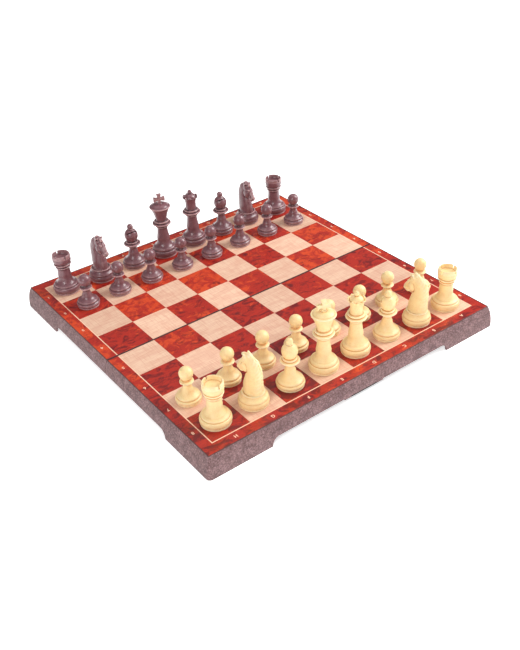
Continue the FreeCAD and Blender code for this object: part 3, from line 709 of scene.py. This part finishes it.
def smoothed(path, half_window):
    """Moving average of a path that holds its two ends."""
    padded = np.vstack([2 * path[0] - path[half_window:0:-1], path,
                        2 * path[-1] - path[-2:-half_window - 2:-1]])
    kernel = np.hanning(2 * half_window + 3)[1:-1]
    kernel /= kernel.sum()
    return np.stack([np.convolve(padded[:, i], kernel, "valid") for i in (0, 1)], 1)


def simplified(path, tolerance):
    """Indices of the points that keep a path within the tolerance."""
    keep = {0, len(path) - 1}
    spans = [(0, len(path) - 1)]
    while spans:
        first, last = spans.pop()
        if last - first < 2:
            continue
        chord = path[last] - path[first]
        inner = path[first + 1:last] - path[first]
        size = max(np.hypot(*chord), 1e-9)
        gap = np.abs(inner[:, 0] * chord[1] - inner[:, 1] * chord[0]) / size
        worst = int(gap.argmax())
        if gap[worst] > tolerance:
            middle = first + 1 + worst
            keep.add(middle)
            spans += [(first, middle), (middle, last)]
    return sorted(keep)


def softened(corners, reach=0.16, wide_reach=1.9, spacing=0.08, tolerance=0.010):
    """Rounded outline with no more points than its curves need, and its hollows."""
    walk = np.concatenate([[0], np.cumsum(np.hypot(*np.diff(corners, axis=0).T))])
    steps = np.arange(0, walk[-1], spacing)
    path = np.stack([np.interp(steps, walk, corners[:, i]) for i in (0, 1)], 1)
    near = smoothed(np.vstack([path, corners[-1]]), int(reach / spacing))
    wide = smoothed(near, int(wide_reach / spacing))
    along = np.gradient(near, axis=0)
    outward = np.stack([along[:, 1], -along[:, 0]], 1)
    outward /= np.linalg.norm(outward, axis=1)[:, None] + 1e-9
    hollow = np.sum((wide - near) * outward, axis=1) * 1.5
    near[0, 0] = near[-1, 0] = 0.0
    keep = simplified(near, tolerance)
    return near[keep] * MM, hollow[keep]


def turned_tree():
    """Turns the points of a profile about Z, with scallops in the rim of a coronet."""
    tree, source, result = geometry_tree("turned_piece", {
        "Segments": "Int", "Scallops": "Int", "Scallop Depth": "Float",
        "Scallop Floor": "Float", "Scallop Inside": "Float", "Material": "Material"})
    count = put(tree, "GeometryNodeAttributeDomainSize",
                {"Geometry": source["Geometry"]}).outputs["Point Count"]
    grid, column, place = grid_place(tree, calc(tree, "ADD", source["Segments"], 1.0), count)
    angle = times(tree, calc(tree, "DIVIDE", column, source["Segments"]), math.tau)
    position = put(tree, "GeometryNodeInputPosition").outputs[0]
    sample = put(tree, "GeometryNodeSampleIndex", {"Geometry": source["Geometry"],
                                                   "Index": place}, data_type="FLOAT_VECTOR")
    tree.links.new(position, sample.inputs["Value"])
    split = put(tree, "ShaderNodeSeparateXYZ", {0: sample.outputs[0]}).outputs
    wave = calc(tree, "DIVIDE", source["Scallops"], 2.0)
    wave = calc(tree, "ABSOLUTE", calc(tree, "SINE", times(tree, angle, wave)))
    above = calc(tree, "SUBTRACT", split[2], source["Scallop Floor"])
    outside = calc(tree, "GREATER_THAN", split[0], source["Scallop Inside"])
    share = times(tree, times(tree, wave, source["Scallop Depth"]), outside)
    drop = times(tree, share, calc(tree, "MAXIMUM", above, 0.0))
    height = calc(tree, "SUBTRACT", split[2], drop)
    flat = put(tree, "ShaderNodeCombineXYZ", {0: split[0], 2: height}).outputs[0]
    turn = put(tree, "ShaderNodeVectorRotate", {"Vector": flat, "Angle": angle},
               rotation_type="Z_AXIS").outputs[0]
    shaped = put(tree, "GeometryNodeSetPosition", {"Geometry": grid, "Position": turn})
    closed = put(tree, "GeometryNodeMergeByDistance", {"Geometry": shaped.outputs[0],
                                                       "Distance": 0.004 * MM})
    tree.links.new(realized(tree, closed.outputs[0], source["Material"]), result[0])
    return tree


def shared_tree(name, maker):
    """Geometry Nodes tree by name, made when it is first asked for."""
    return bpy.data.node_groups.get(name) or maker()


def turned(corners, scallops=None):
    """Closed mesh of a turned piece, with its hollows stored on its points."""
    outline, hollow = softened(outline_of(corners))
    base = bpy.data.meshes.new("profile")
    base.from_pydata([(r, 0.0, z) for r, z in outline], [], [])
    mesh = run_tree("turned", base, shared_tree("turned_piece", turned_tree), {
        "Segments": bpy.context.scene.chess_pieces.segments,
        "Material": material("cream_plastic"), **(scallops or {})})
    tidy_mesh(mesh, SHARP_ANGLE)
    points = np.array([v.co for v in mesh.vertices])
    flat = np.stack([np.hypot(points[:, 0], points[:, 1]), points[:, 2]], 1)
    nearest = [((flat[start:start + 2000, None] - outline) ** 2).sum(2).argmin(1)
               for start in range(0, len(flat), 2000)]
    store_hollows(mesh, hollow[np.concatenate(nearest)])
    return mesh


def store_hollows(mesh, values):
    """Keep how hollow each point lies, from -1 on a sharp edge to 1 in a crevice."""
    layer = mesh.attributes.new("hollow", "FLOAT", "POINT")
    layer.data.foreach_set("value", np.clip(values, -1, 1).astype(np.float32))


def base_corners(radius, drum_top, ledge, ledge_top):
    """Base disc, groove, bulging drum and the ledge above it."""
    disc, groove = radius - 0.55, radius - 1.35
    return [(0, 0), (disc - 0.35, 0), (disc, 0.35, 0.12), (disc, 1.05), (disc - 0.35, 1.4, 0.12),
            (groove, 1.45), (groove, 1.85), (disc, 1.95), (radius - 0.75, drum_top, 0.62),
            (ledge + 0.75, drum_top + 0.45), (ledge, ledge_top, 0.42)]


def stem_corners(neck):
    """Base, flared skirt, stem and the stack of collars of the king and the queen."""
    return base_corners(12.9, 6.5, 10.4, 9.6) + [
        (9.35, 10.05), (6.4, 18.5, -1.25), (4.85, neck, -0.22), (5.7, neck + 0.55),
        (5.75, neck + 1.5, 0.45), (5.5, neck + 1.75), (8.35, neck + 3.7, -0.45),
        (8.2, neck + 5.3, 0.85), (6.9, neck + 5.55), (6.75, neck + 5.9),
        (6.55, neck + 7.6, 0.72), (5.55, neck + 7.8), (5.35, neck + 8.6)]


def ball(radius, height, centre, start, count):
    """Corners of a ball on top of a piece, from an angle up to the axis."""
    return [(radius * math.cos(turn), centre + height * math.sin(turn))
            for turn in np.linspace(start, math.pi / 2, count)]


def merlon_mesh():
    """One of the raised parts round the top of the rook."""
    work = bmesh.new()
    section = [(6.85, 35.4), (8.5, 35.4), (8.5, 37.6), (8.1, 38.85), (7.1, 38.9)]
    half = math.radians(90 - MERLON_GAP) / 2
    rings = [[work.verts.new((r * math.cos(turn) * MM, r * math.sin(turn) * MM, z * MM))
              for r, z in section] for turn in np.linspace(-half, half, ARC_STEPS)]
    for first, second in zip(rings, rings[1:]):
        for i in range(5):
            j = (i + 1) % 5
            work.faces.new((first[i], first[j], second[j], second[i]))
    work.faces.new(rings[0][::-1])
    work.faces.new(rings[-1])
    bmesh.ops.recalc_face_normals(work, faces=work.faces)
    sharp = [e for e in work.edges if len(e.link_faces) == 2 and e.calc_face_angle() > 0.6]
    bmesh.ops.bevel(work, geom=sharp, offset=0.38 * MM, segments=3, affect="EDGES", profile=0.5)
    return made_mesh(work, "merlon")


def ring_tree():
    """Copies of a part, spaced evenly round the axis."""
    tree, source, result = geometry_tree("ring_of_parts", {
        "Count": "Int", "Turn": "Float", "Material": "Material"})
    points = put(tree, "GeometryNodePoints", {"Count": source["Count"]})
    index = put(tree, "GeometryNodeInputIndex").outputs[0]
    angle = calc(tree, "DIVIDE", times(tree, index, math.tau), source["Count"])
    turn = put(tree, "ShaderNodeCombineXYZ", {2: calc(tree, "ADD", source["Turn"], angle)})
    copies = put(tree, "GeometryNodeInstanceOnPoints", {
        "Points": points.outputs[0], "Instance": source["Geometry"],
        "Rotation": turn.outputs[0]})
    tree.links.new(realized(tree, copies.outputs[0], source["Material"]), result[0])
    return tree


def with_part(mesh, part):
    """Piece with one more closed part set into it."""
    tidy_mesh(part, SHARP_ANGLE)
    store_hollows(part, np.full(len(part.vertices), SET_IN_HOLLOW))
    return merged([mesh, part])


def rook_mesh():
    merlons = run_tree("merlons", merlon_mesh(), shared_tree("ring_of_parts", ring_tree),
                       {"Count": 4, "Turn": math.radians(MERLON_TURN),
                        "Material": material("cream_plastic")})
    return with_part(turned(base_corners(12.8, 6.6, 10.3, 8.7) + [
        (8.8, 9.5), (6.3, 17.6, -1.1), (5.85, 24.6, -0.12), (6.5, 25.3), (6.6, 26.3, 0.45),
        (6.4, 26.6), (7.7, 28.4, -0.3), (7.6, 29.6, 0.5), (7.3, 29.9), (8.5, 34.6, 0.55),
        (8.5, 35.8), (6.9, 35.8), (6.7, 35.2), (0, 34.6, -0.25)]), merlons)


def pawn_mesh():
    return turned(base_corners(10.7, 4.6, 8.5, 6.9) + [
        (7.4, 7.5), (4.5, 12.0, -0.75), (3.35, 16.6, -0.35), (3.6, 17.1), (5.3, 18.2, -0.25),
        (5.15, 19.6, 0.55), (3.7, 20.3), (3.35, 21.2)] + ball(5.75, 5.85, 26.3, -0.94, 26))


def bishop_mesh():
    head = new_object("head", turned(base_corners(11.9, 4.8, 9.9, 7.2) + [
        (8.6, 7.9), (4.55, 15.6, -1.0), (3.5, 20.2, -0.3), (4.2, 20.6), (4.3, 21.5, 0.4),
        (4.0, 21.8), (7.55, 23.7, -0.35), (7.4, 25.1, 0.7), (5.6, 25.5), (5.3, 27.0, 0.55),
        (4.6, 27.2), (4.55, 27.7), (6.55, 33.4, 0.55), (2.5, 39.6, 1.05), (2.6, 39.8),
        (2.6, 40.5, 0.3)] + ball(2.95, 2.95, 42.05, -0.75, 20)))
    slit = block_mesh((-9 * MM, -9 * MM, -0.6 * MM), (9 * MM, 0.2 * MM, 0.6 * MM))
    slit.transform(Matrix.Translation((0, -1.6 * MM, 35.6 * MM))
                   @ Matrix.Rotation(math.radians(-40), 4, "X"))
    tool = new_object("slit", slit)
    cut = head.modifiers.new("slit", "BOOLEAN")
    cut.operation = "DIFFERENCE"
    cut.solver = "EXACT"
    cut.object = tool
    bpy.context.view_layer.update()
    result = evaluated_mesh(head)
    bpy.data.objects.remove(tool)
    result.set_sharp_from_angle(angle=math.radians(SHARP_ANGLE))
    return result


def cross_mesh():
    """The king's cross, with flared arms."""
    side = [(2.1, 55.0), (1.35, 58.3), (1.55, 58.9), (5.6, 57.9), (5.6, 62.3), (1.55, 61.3),
            (1.35, 61.9), (2.35, 65.4)]
    half_depth = 1.7 * MM
    work = bmesh.new()
    face = work.faces.new([work.verts.new((x * MM, -half_depth, z * MM))
                           for x, z in side + [(-x, z) for x, z in reversed(side)]])
    made = bmesh.ops.extrude_face_region(work, geom=[face])
    for vertex in (v for v in made["geom"] if isinstance(v, bmesh.types.BMVert)):
        vertex.co.y = half_depth
    bmesh.ops.recalc_face_normals(work, faces=work.faces)
    bmesh.ops.bevel(work, geom=list(work.edges), offset=0.42 * MM, segments=3, affect="EDGES",
                    profile=0.5, clamp_overlap=True)
    bmesh.ops.triangulate(work, faces=[f for f in work.faces if len(f.verts) > 4])
    mesh = made_mesh(work, "cross")
    mesh.materials.append(material("cream_plastic"))
    return mesh


def king_mesh():
    return with_part(turned(stem_corners(30.0) + [
        (9.65, 51.4, -0.55), (9.6, 52.9, 0.75), (8.7, 53.1), (2.7, 55.5, 0.75), (2.5, 56.0),
        (0, 56.6, 0.2)]), cross_mesh())


def queen_mesh():
    return turned(stem_corners(30.4) + [
        (5.2, 43.2), (7.75, 52.2, -0.75), (6.9, 52.5, 0.3), (5.9, 50.6), (1.6, 54.4, 0.75),
        (1.5, 54.7)] + ball(2.15, 2.2, 56.35, -0.8, 20),
        {"Scallops": 9, "Scallop Depth": 0.62, "Scallop Floor": 49.9 * MM,
         "Scallop Inside": 6.0 * MM})


# ------------------------------------------------------------------ knight
HEAD_FLOOR = 11.2          # the neck ends here, inside the drum
HEAD_SPACE = ((-12, 17), (-9, 9), (10, 48))
LOCK_TURNS, LOCK_DEPTH, HAIR_DEPTH = 17.0, 0.24, 0.04


def smooth_union(a, b, radius):
    """Union of two distance fields with a fillet between them."""
    share = np.clip(0.5 + 0.5 * (b - a) / radius, 0, 1)
    return b * (1 - share) + a * share - radius * share * (1 - share)


def carve(a, b, radius):
    """First field with the second cut away, with a soft edge."""
    return -smooth_union(-a, b, radius)


def joined(field, parts):
    """Field with more parts, each with the fillet that joins it."""
    for part, fillet in parts:
        field = smooth_union(field, part, fillet)
    return field


def limb(p, start, end, r0, r1, flat=1.0):
    """Distance to a tapered limb between two points, narrower across by flat."""
    scale = np.array((1.0, flat, 1.0))
    p, a, b = p * scale, np.array(start) * scale, np.array(end) * scale
    axis = b - a
    share = np.clip(((p - a) @ axis) / (axis @ axis), 0, 1)
    return np.linalg.norm(p - a - share[..., None] * axis, axis=-1) - (r0 + (r1 - r0) * share)


def egg(p, centre, radii):
    """Distance to an ellipsoid, near enough for blending."""
    radii = np.array(radii, float)
    q = (p - np.array(centre)) / radii
    size = np.linalg.norm(q, axis=-1)
    slope = np.linalg.norm(q / radii, axis=-1) + 1e-9
    return size * (size - 1) / slope


def chain(p, joints, flat, radius):
    """Smooth run of limbs through (x, z, half depth)."""
    field = None
    for (x0, z0, r0), (x1, z1, r1) in zip(joints, joints[1:]):
        part = limb(p, (x0, 0, z0), (x1, 0, z1), r0, r1, flat)
        field = part if field is None else smooth_union(field, part, radius)
    return field


def horse_head(p):
    """Distance field of the knight's head and neck in millimetres, facing +X."""
    x, y, z = p[..., 0], p[..., 1], p[..., 2]
    side = p.copy()
    side[..., 1] = np.abs(y)
    neck = chain(p, [(-0.2, 10.5, 8.6), (-0.4, 14.0, 8.6), (-0.9, 18.5, 8.6), (-1.7, 23.5, 7.9),
                     (-3.0, 28.5, 6.9), (-2.9, 33.0, 6.5), (-1.2, 37.3, 6.1), (1.8, 41.0, 4.7)],
                 1.5, 1.5)
    skull = limb(p, (3.8, 0, 40.0), (11.9, 0, 31.0), 4.8, 3.0, 1.26)
    muzzle = joined(egg(p, (12.0, 0, 29.8), (2.5, 2.5, 2.6)), [
        (egg(side, (13.0, 1.0, 30.2), (1.8, 1.4, 1.7)), 0.5),
        (egg(p, (10.6, 0, 27.9), (2.1, 1.8, 1.6)), 0.6)])
    field = joined(neck, [
        (egg(p, (0.0, 0, 10.8), (8.4, 6.8, 4.4)), 2.0),
        (egg(p, (5.0, 0, 15.5), (3.4, 3.6, 6.0)), 1.6), (skull, 1.0),
        (egg(side, (5.2, 1.7, 34.2), (4.4, 2.9, 4.9)), 0.6), (muzzle, 0.9),
        (egg(side, (8.0, 2.2, 38.7), (2.2, 0.9, 1.0)), 0.8)])
    lay = np.arctan2(z - 27.0, -(x - 7.0))
    behind = np.clip((0.2 - x) / 3.0, 0, 1) * np.clip((z - 12.5) / 3.0, 0, 1)
    sweep = lay * LOCK_TURNS + np.abs(y) * 0.9
    locks = np.abs(np.sin(sweep)) ** 0.8
    fine = np.sin(sweep * 4.0 + np.abs(y) * 0.6)
    field = field + behind * (LOCK_DEPTH / 2 - LOCK_DEPTH * locks - HAIR_DEPTH * fine)
    parting = np.abs(y) - 0.2
    field = carve(field, np.maximum(parting, -(field + 0.35)) + 4.0 * (1 - behind), 0.25)
    fringe = limb(p, (1.8, 0, 43.9), (8.0, 0, 43.3), 2.6, 1.6)
    field = smooth_union(field, fringe - 0.14 * np.sin(y * 4.0), 0.45)
    field = carve(field, limb(side, (9.8, 1.2, 41.3), (4.0, 4.6, 40.9), 0.5, 0.4), 0.5)
    ear = limb(side, (2.8, 2.0, 43.0), (5.4, 2.7, 44.9), 1.6, 1.0)
    field = smooth_union(field, ear, 0.5)
    field = carve(field, limb(side, (4.6, 3.0, 43.6), (5.9, 3.3, 44.9), 0.7, 0.4), 0.3)
    field = carve(field, egg(side, (8.9, 3.35, 37.1), (1.45, 1.0, 1.0)), 0.35)
    field = smooth_union(field, egg(side, (8.7, 2.7, 37.1), (0.95, 0.7, 0.7)), 0.12)
    field = carve(field, egg(side, (14.5, 1.5, 30.7), (0.85, 0.7, 0.6)), 0.25)
    for start, end, r0, r1, edge in (
            ((14.6, 1.2, 28.6), (9.8, 2.8, 29.6), 0.42, 0.30, 0.25),
            ((8.2, 4.1, 29.6), (2.0, 5.0, 30.6), 0.55, 0.30, 0.6),
            ((1.4, 5.2, 31.0), (1.2, 4.9, 37.6), 0.45, 0.25, 0.6),
            ((10.4, 3.0, 35.4), (12.4, 2.4, 32.6), 0.30, 0.20, 0.5)):
        field = carve(field, limb(side, start, end, r0, r1), edge)
    return np.maximum(field, HEAD_FLOOR - z)


def skin(field, origin, size):
    """Closed quad surface of the zero level of a sampled field."""
    inside = field < 0
    cells = tuple(n - 1 for n in field.shape)
    total = np.zeros(cells + (3,))
    count = np.zeros(cells)
    offsets = [(i, j, k) for i in (0, 1) for j in (0, 1) for k in (0, 1)]

    def corner(values, offset):
        return values[tuple(slice(o, o + n) for o, n in zip(offset, cells))]

    for axis in range(3):
        for offset in (o for o in offsets if o[axis] == 0):
            other = tuple(o + (i == axis) for i, o in enumerate(offset))
            a, b = corner(field, offset), corner(field, other)
            crossing = (a < 0) != (b < 0)
            share = np.where(crossing, a / np.where(crossing, a - b, 1), 0)
            for i in range(3):
                total[..., i] += np.where(crossing, offset[i] + (share if i == axis else 0), 0)
            count += crossing
    used = count > 0
    number = np.full(cells, -1)
    number[used] = np.arange(used.sum())
    cell = np.argwhere(used)
    points = (cell + total[used] / count[used][:, None]) * size + origin
    faces = []
    for axis in range(3):
        first, second = (axis + 1) % 3, (axis + 2) % 3
        low = [slice(None)] * 3
        high = [slice(None)] * 3
        low[axis], high[axis] = slice(0, -1), slice(1, None)
        change = np.argwhere(inside[tuple(low)] != inside[tuple(high)])
        filled = inside[tuple(change.T)]
        corners = []
        for da, db in ((-1, -1), (0, -1), (0, 0), (-1, 0)):
            at = change.copy()
            at[:, first] += da
            at[:, second] += db
            corners.append(number[tuple(at.T)])
        quads = np.stack(corners, 1)
        quads[~filled] = quads[~filled][:, ::-1]
        faces.append(quads)
    return points, np.vstack(faces)


def knight_mesh():
    size = bpy.context.scene.chess_pieces.knight_step / MM
    axes = [np.arange(low, high, size) for low, high in HEAD_SPACE]
    origin = np.array([axis[0] for axis in axes])
    field = horse_head(np.stack(np.meshgrid(*axes, indexing="ij"), -1))
    points, quads = skin(field, origin, size)
    head = bpy.data.meshes.new("head")
    head.from_pydata((points * MM).tolist(), [], quads.tolist())
    head.materials.append(material("cream_plastic"))
    tidy_mesh(head, HEAD_SHARP_ANGLE)
    blurred = np.clip(0.5 - field / size, 0, 1)
    for axis in range(3):
        blurred = sum(np.roll(blurred, shift, axis) for shift in range(-4, 5)) / 9
    spots = (np.array([v.co for v in head.vertices]) / MM - origin) / size
    cell = np.clip(np.floor(spots).astype(int), 0, np.array(field.shape) - 2)
    share = spots - cell
    hollow = 0
    for corner in np.ndindex(2, 2, 2):
        weight = np.prod(np.where(corner, share, 1 - share), axis=1)
        hollow = hollow + weight * blurred[tuple((cell + corner).T)]
    store_hollows(head, (hollow - 0.5) * 3.2)
    base = turned(base_corners(12.6, 6.0, 10.9, 8.7) + [
        (9.2, 11.5, -0.3), (8.9, 12.3, 0.35), (8.3, 12.35), (7.9, 11.8), (0, 12.0, 0.05)])
    return merged([base, head])


# ------------------------------------------------------------------ setting pieces down
class PieceOperator:
    """What the operators of the pieces share. Turns are by node or by colour."""
    turns = {}

    def execute(self, context):
        """Set down copies of the shape wherever the set has a piece of this kind."""
        mesh = self.shape()
        for node in sorted(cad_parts):
            words = node.split("_")
            if words[0] not in COLOURS or words[1] != self.kind:
                continue
            side, kind, file = words
            low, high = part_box(node)
            radius = (high.x - low.x) / 2
            middle = low.y + radius if side == "white" else high.y - radius
            turn = math.radians(self.turns.get(node, self.turns.get(side, 0.0)))
            copy = mesh.copy()
            copy.transform(Matrix.Translation(((low.x + high.x) / 2, middle, low.z))
                           @ Matrix.Rotation(turn, 4, "Z"))
            finish = COLOURS[side]
            copy.materials.clear()
            copy.materials.append(material(finish + "_plastic"))
            finished(new_object("_".join((finish, kind, file)), copy), node + "_piece",
                     finish + "_plastic", node)
        return {"FINISHED"}


class CHESS_OT_pawns(PieceOperator, bpy.types.Operator):
    """Turn the pawns"""
    bl_idname = "chess_set.pawns"
    bl_label = "Pawns"
    kind = "pawn"
    shape = staticmethod(pawn_mesh)


class CHESS_OT_rooks(PieceOperator, bpy.types.Operator):
    """Turn the rooks and set their merlons"""
    bl_idname = "chess_set.rooks"
    bl_label = "Rooks"
    kind = "rook"
    shape = staticmethod(rook_mesh)


class CHESS_OT_knights(PieceOperator, bpy.types.Operator):
    """Model the knights on their turned bases"""
    bl_idname = "chess_set.knights"
    bl_label = "Knights"
    kind = "knight"
    turns = {"white": 90.0, "black": -90.0, "white_knight_g": 100.0, "white_knight_b": 97.0,
             "black_knight_g": -82.0}
    shape = staticmethod(knight_mesh)


class CHESS_OT_bishops(PieceOperator, bpy.types.Operator):
    """Turn the bishops and cut their slits"""
    bl_idname = "chess_set.bishops"
    bl_label = "Bishops"
    kind = "bishop"
    turns = {"white": 180.0}
    shape = staticmethod(bishop_mesh)


class CHESS_OT_queens(PieceOperator, bpy.types.Operator):
    """Turn the queens with their coronets"""
    bl_idname = "chess_set.queens"
    bl_label = "Queens"
    kind = "queen"
    shape = staticmethod(queen_mesh)


class CHESS_OT_kings(PieceOperator, bpy.types.Operator):
    """Turn the kings and set their crosses"""
    bl_idname = "chess_set.kings"
    bl_label = "Kings"
    kind = "king"
    turns = {"white": -20.0, "black": -20.0}
    shape = staticmethod(king_mesh)


# ------------------------------------------------------------------ case and stage
CASE_FINISHES = {
    "case_composite": ("near_shell", "far_shell"),
    "tray_plastic": ("near_storage_tray", "far_storage_tray", "hinge_link_left",
                     "hinge_link_right"),
    "latch_plastic": ("latch",),
    "sheet_steel": ("near_steel_sheet", "far_steel_sheet"),
    "fastener_steel": ("near_tray_screws", "far_tray_screws", "near_hinge_pins",
                       "far_hinge_pins", "latch_pin"),
}


class CHESS_OT_case(bpy.types.Operator):
    """Finish the case halves, trays, hinges and latch"""
    bl_idname = "chess_set.case"
    bl_label = "Case and hardware"

    def execute(self, context):
        for name, nodes in CASE_FINISHES.items():
            for node in nodes:
                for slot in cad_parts[node].material_slots:
                    slot.material = material(name)
        return {"FINISHED"}


LIGHT_TARGET = Vector((0.0, 0.0, 0.02))
EYE = (-0.3808, -0.5478, 0.4476)
EYE_RIGHT = Vector((0.7967, -0.6029, -0.0427)).normalized()
EYE_UP = Vector((0.3710, 0.4320, 0.8220))


def area_light(name, place, size, watts):
    light = bpy.data.lights.new(name, "AREA")
    light.shape = "RECTANGLE"
    light.size, light.size_y = size
    light.energy = watts
    lamp = new_object(name, light)
    lamp.location = place
    lamp.rotation_euler = (LIGHT_TARGET - Vector(place)).to_track_quat("-Z", "Y").to_euler()


def floor_material(stage):
    """Matt white that glows a little, so that the floor stays even."""
    tree, shader, place = start_material("stage_floor")
    patch = cloud(tree, place, 3.0, 3.0)
    tree.links.new(blend(tree, times(tree, patch, 0.02), stage.floor, (0.9, 0.9, 0.9)),
                   shader["Base Color"])
    for label, value in (("Roughness", 0.9), ("Specular IOR Level", 0.0),
                         ("Emission Color", (1.0, 1.0, 1.0, 1.0)), ("Emission Strength", 0.62)):
        shader[label].default_value = value
    return bpy.data.materials["stage_floor"]


class CHESS_OT_stage(bpy.types.Operator):
    """Set the floor, the lights and the camera"""
    bl_idname = "chess_set.stage"
    bl_label = "Stage"

    def execute(self, context):
        stage = context.scene.chess_stage
        mesh = block_mesh((-FLOOR_REACH, -FLOOR_REACH, -FLOOR_DEPTH),
                          (FLOOR_REACH, FLOOR_REACH, 0.0))
        mesh.materials.append(floor_material(stage))
        new_object("floor", mesh)
        area_light("key_light", (1.15, -0.35, 1.0), (0.9, 0.9), stage.key_power)
        area_light("fill_light", (-1.15, -0.7, 0.8), (0.6, 0.6), stage.fill_power)
        area_light("top_light", (0.1, 0.5, 1.5), (1.6, 1.2), stage.top_power)
        world = bpy.data.worlds.new("surround")
        context.scene.world = world
        world.use_nodes = True
        sky = world.node_tree.nodes["Background"].inputs
        sky[0].default_value = (1.0, 1.0, 1.0, 1.0)
        sky[1].default_value = stage.surround
        camera = bpy.data.cameras.new("camera")
        camera.sensor_width = 36.0
        camera.sensor_fit = "AUTO"
        camera.lens = stage.lens
        eye = new_object("camera", camera)
        up = (EYE_UP - EYE_RIGHT * EYE_UP.dot(EYE_RIGHT)).normalized()
        turn = Matrix((EYE_RIGHT, up, EYE_RIGHT.cross(up))).transposed().to_4x4()
        eye.matrix_world = Matrix.Translation(EYE) @ turn
        context.scene.camera = eye
        context.scene.view_settings.view_transform = "Standard"
        return {"FINISHED"}


OPERATORS = (CHESS_OT_case, CHESS_OT_board_print, CHESS_OT_coordinates, CHESS_OT_pawns,
             CHESS_OT_rooks, CHESS_OT_knights, CHESS_OT_bishops, CHESS_OT_queens,
             CHESS_OT_kings, CHESS_OT_stage)
SETTINGS = {"chess_board": BoardSettings, "chess_pieces": PieceSettings,
            "chess_case": CaseSettings, "chess_stage": StageSettings}


class CHESS_PT_panel(bpy.types.Panel):
    """Steps and settings of the chess set"""
    bl_label = "Chess set"
    bl_idname = "CHESS_PT_panel"
    bl_space_type = "VIEW_3D"
    bl_region_type = "UI"
    bl_category = "Chess set"

    def draw(self, context):
        for operator in OPERATORS:
            self.layout.operator(operator.bl_idname)
        for label in SETTINGS:
            settings = getattr(context.scene, label)
            box = self.layout.box()
            for name in settings.bl_rna.properties.keys():
                if name not in ("rna_type", "name"):
                    box.prop(settings, name)


def register():
    for item in tuple(SETTINGS.values()) + OPERATORS + (CHESS_PT_panel,):
        bpy.utils.register_class(item)
    for label, item in SETTINGS.items():
        setattr(bpy.types.Scene, label, PointerProperty(type=item))


def unregister():
    for label in SETTINGS:
        delattr(bpy.types.Scene, label)
    for item in (CHESS_PT_panel,) + OPERATORS[::-1] + tuple(SETTINGS.values()):
        bpy.utils.unregister_class(item)


def main():
    register()
    for operator in OPERATORS:
        section, name = operator.bl_idname.split(".")
        getattr(getattr(bpy.ops, section), name)()


if __name__ == "__main__":
    main()
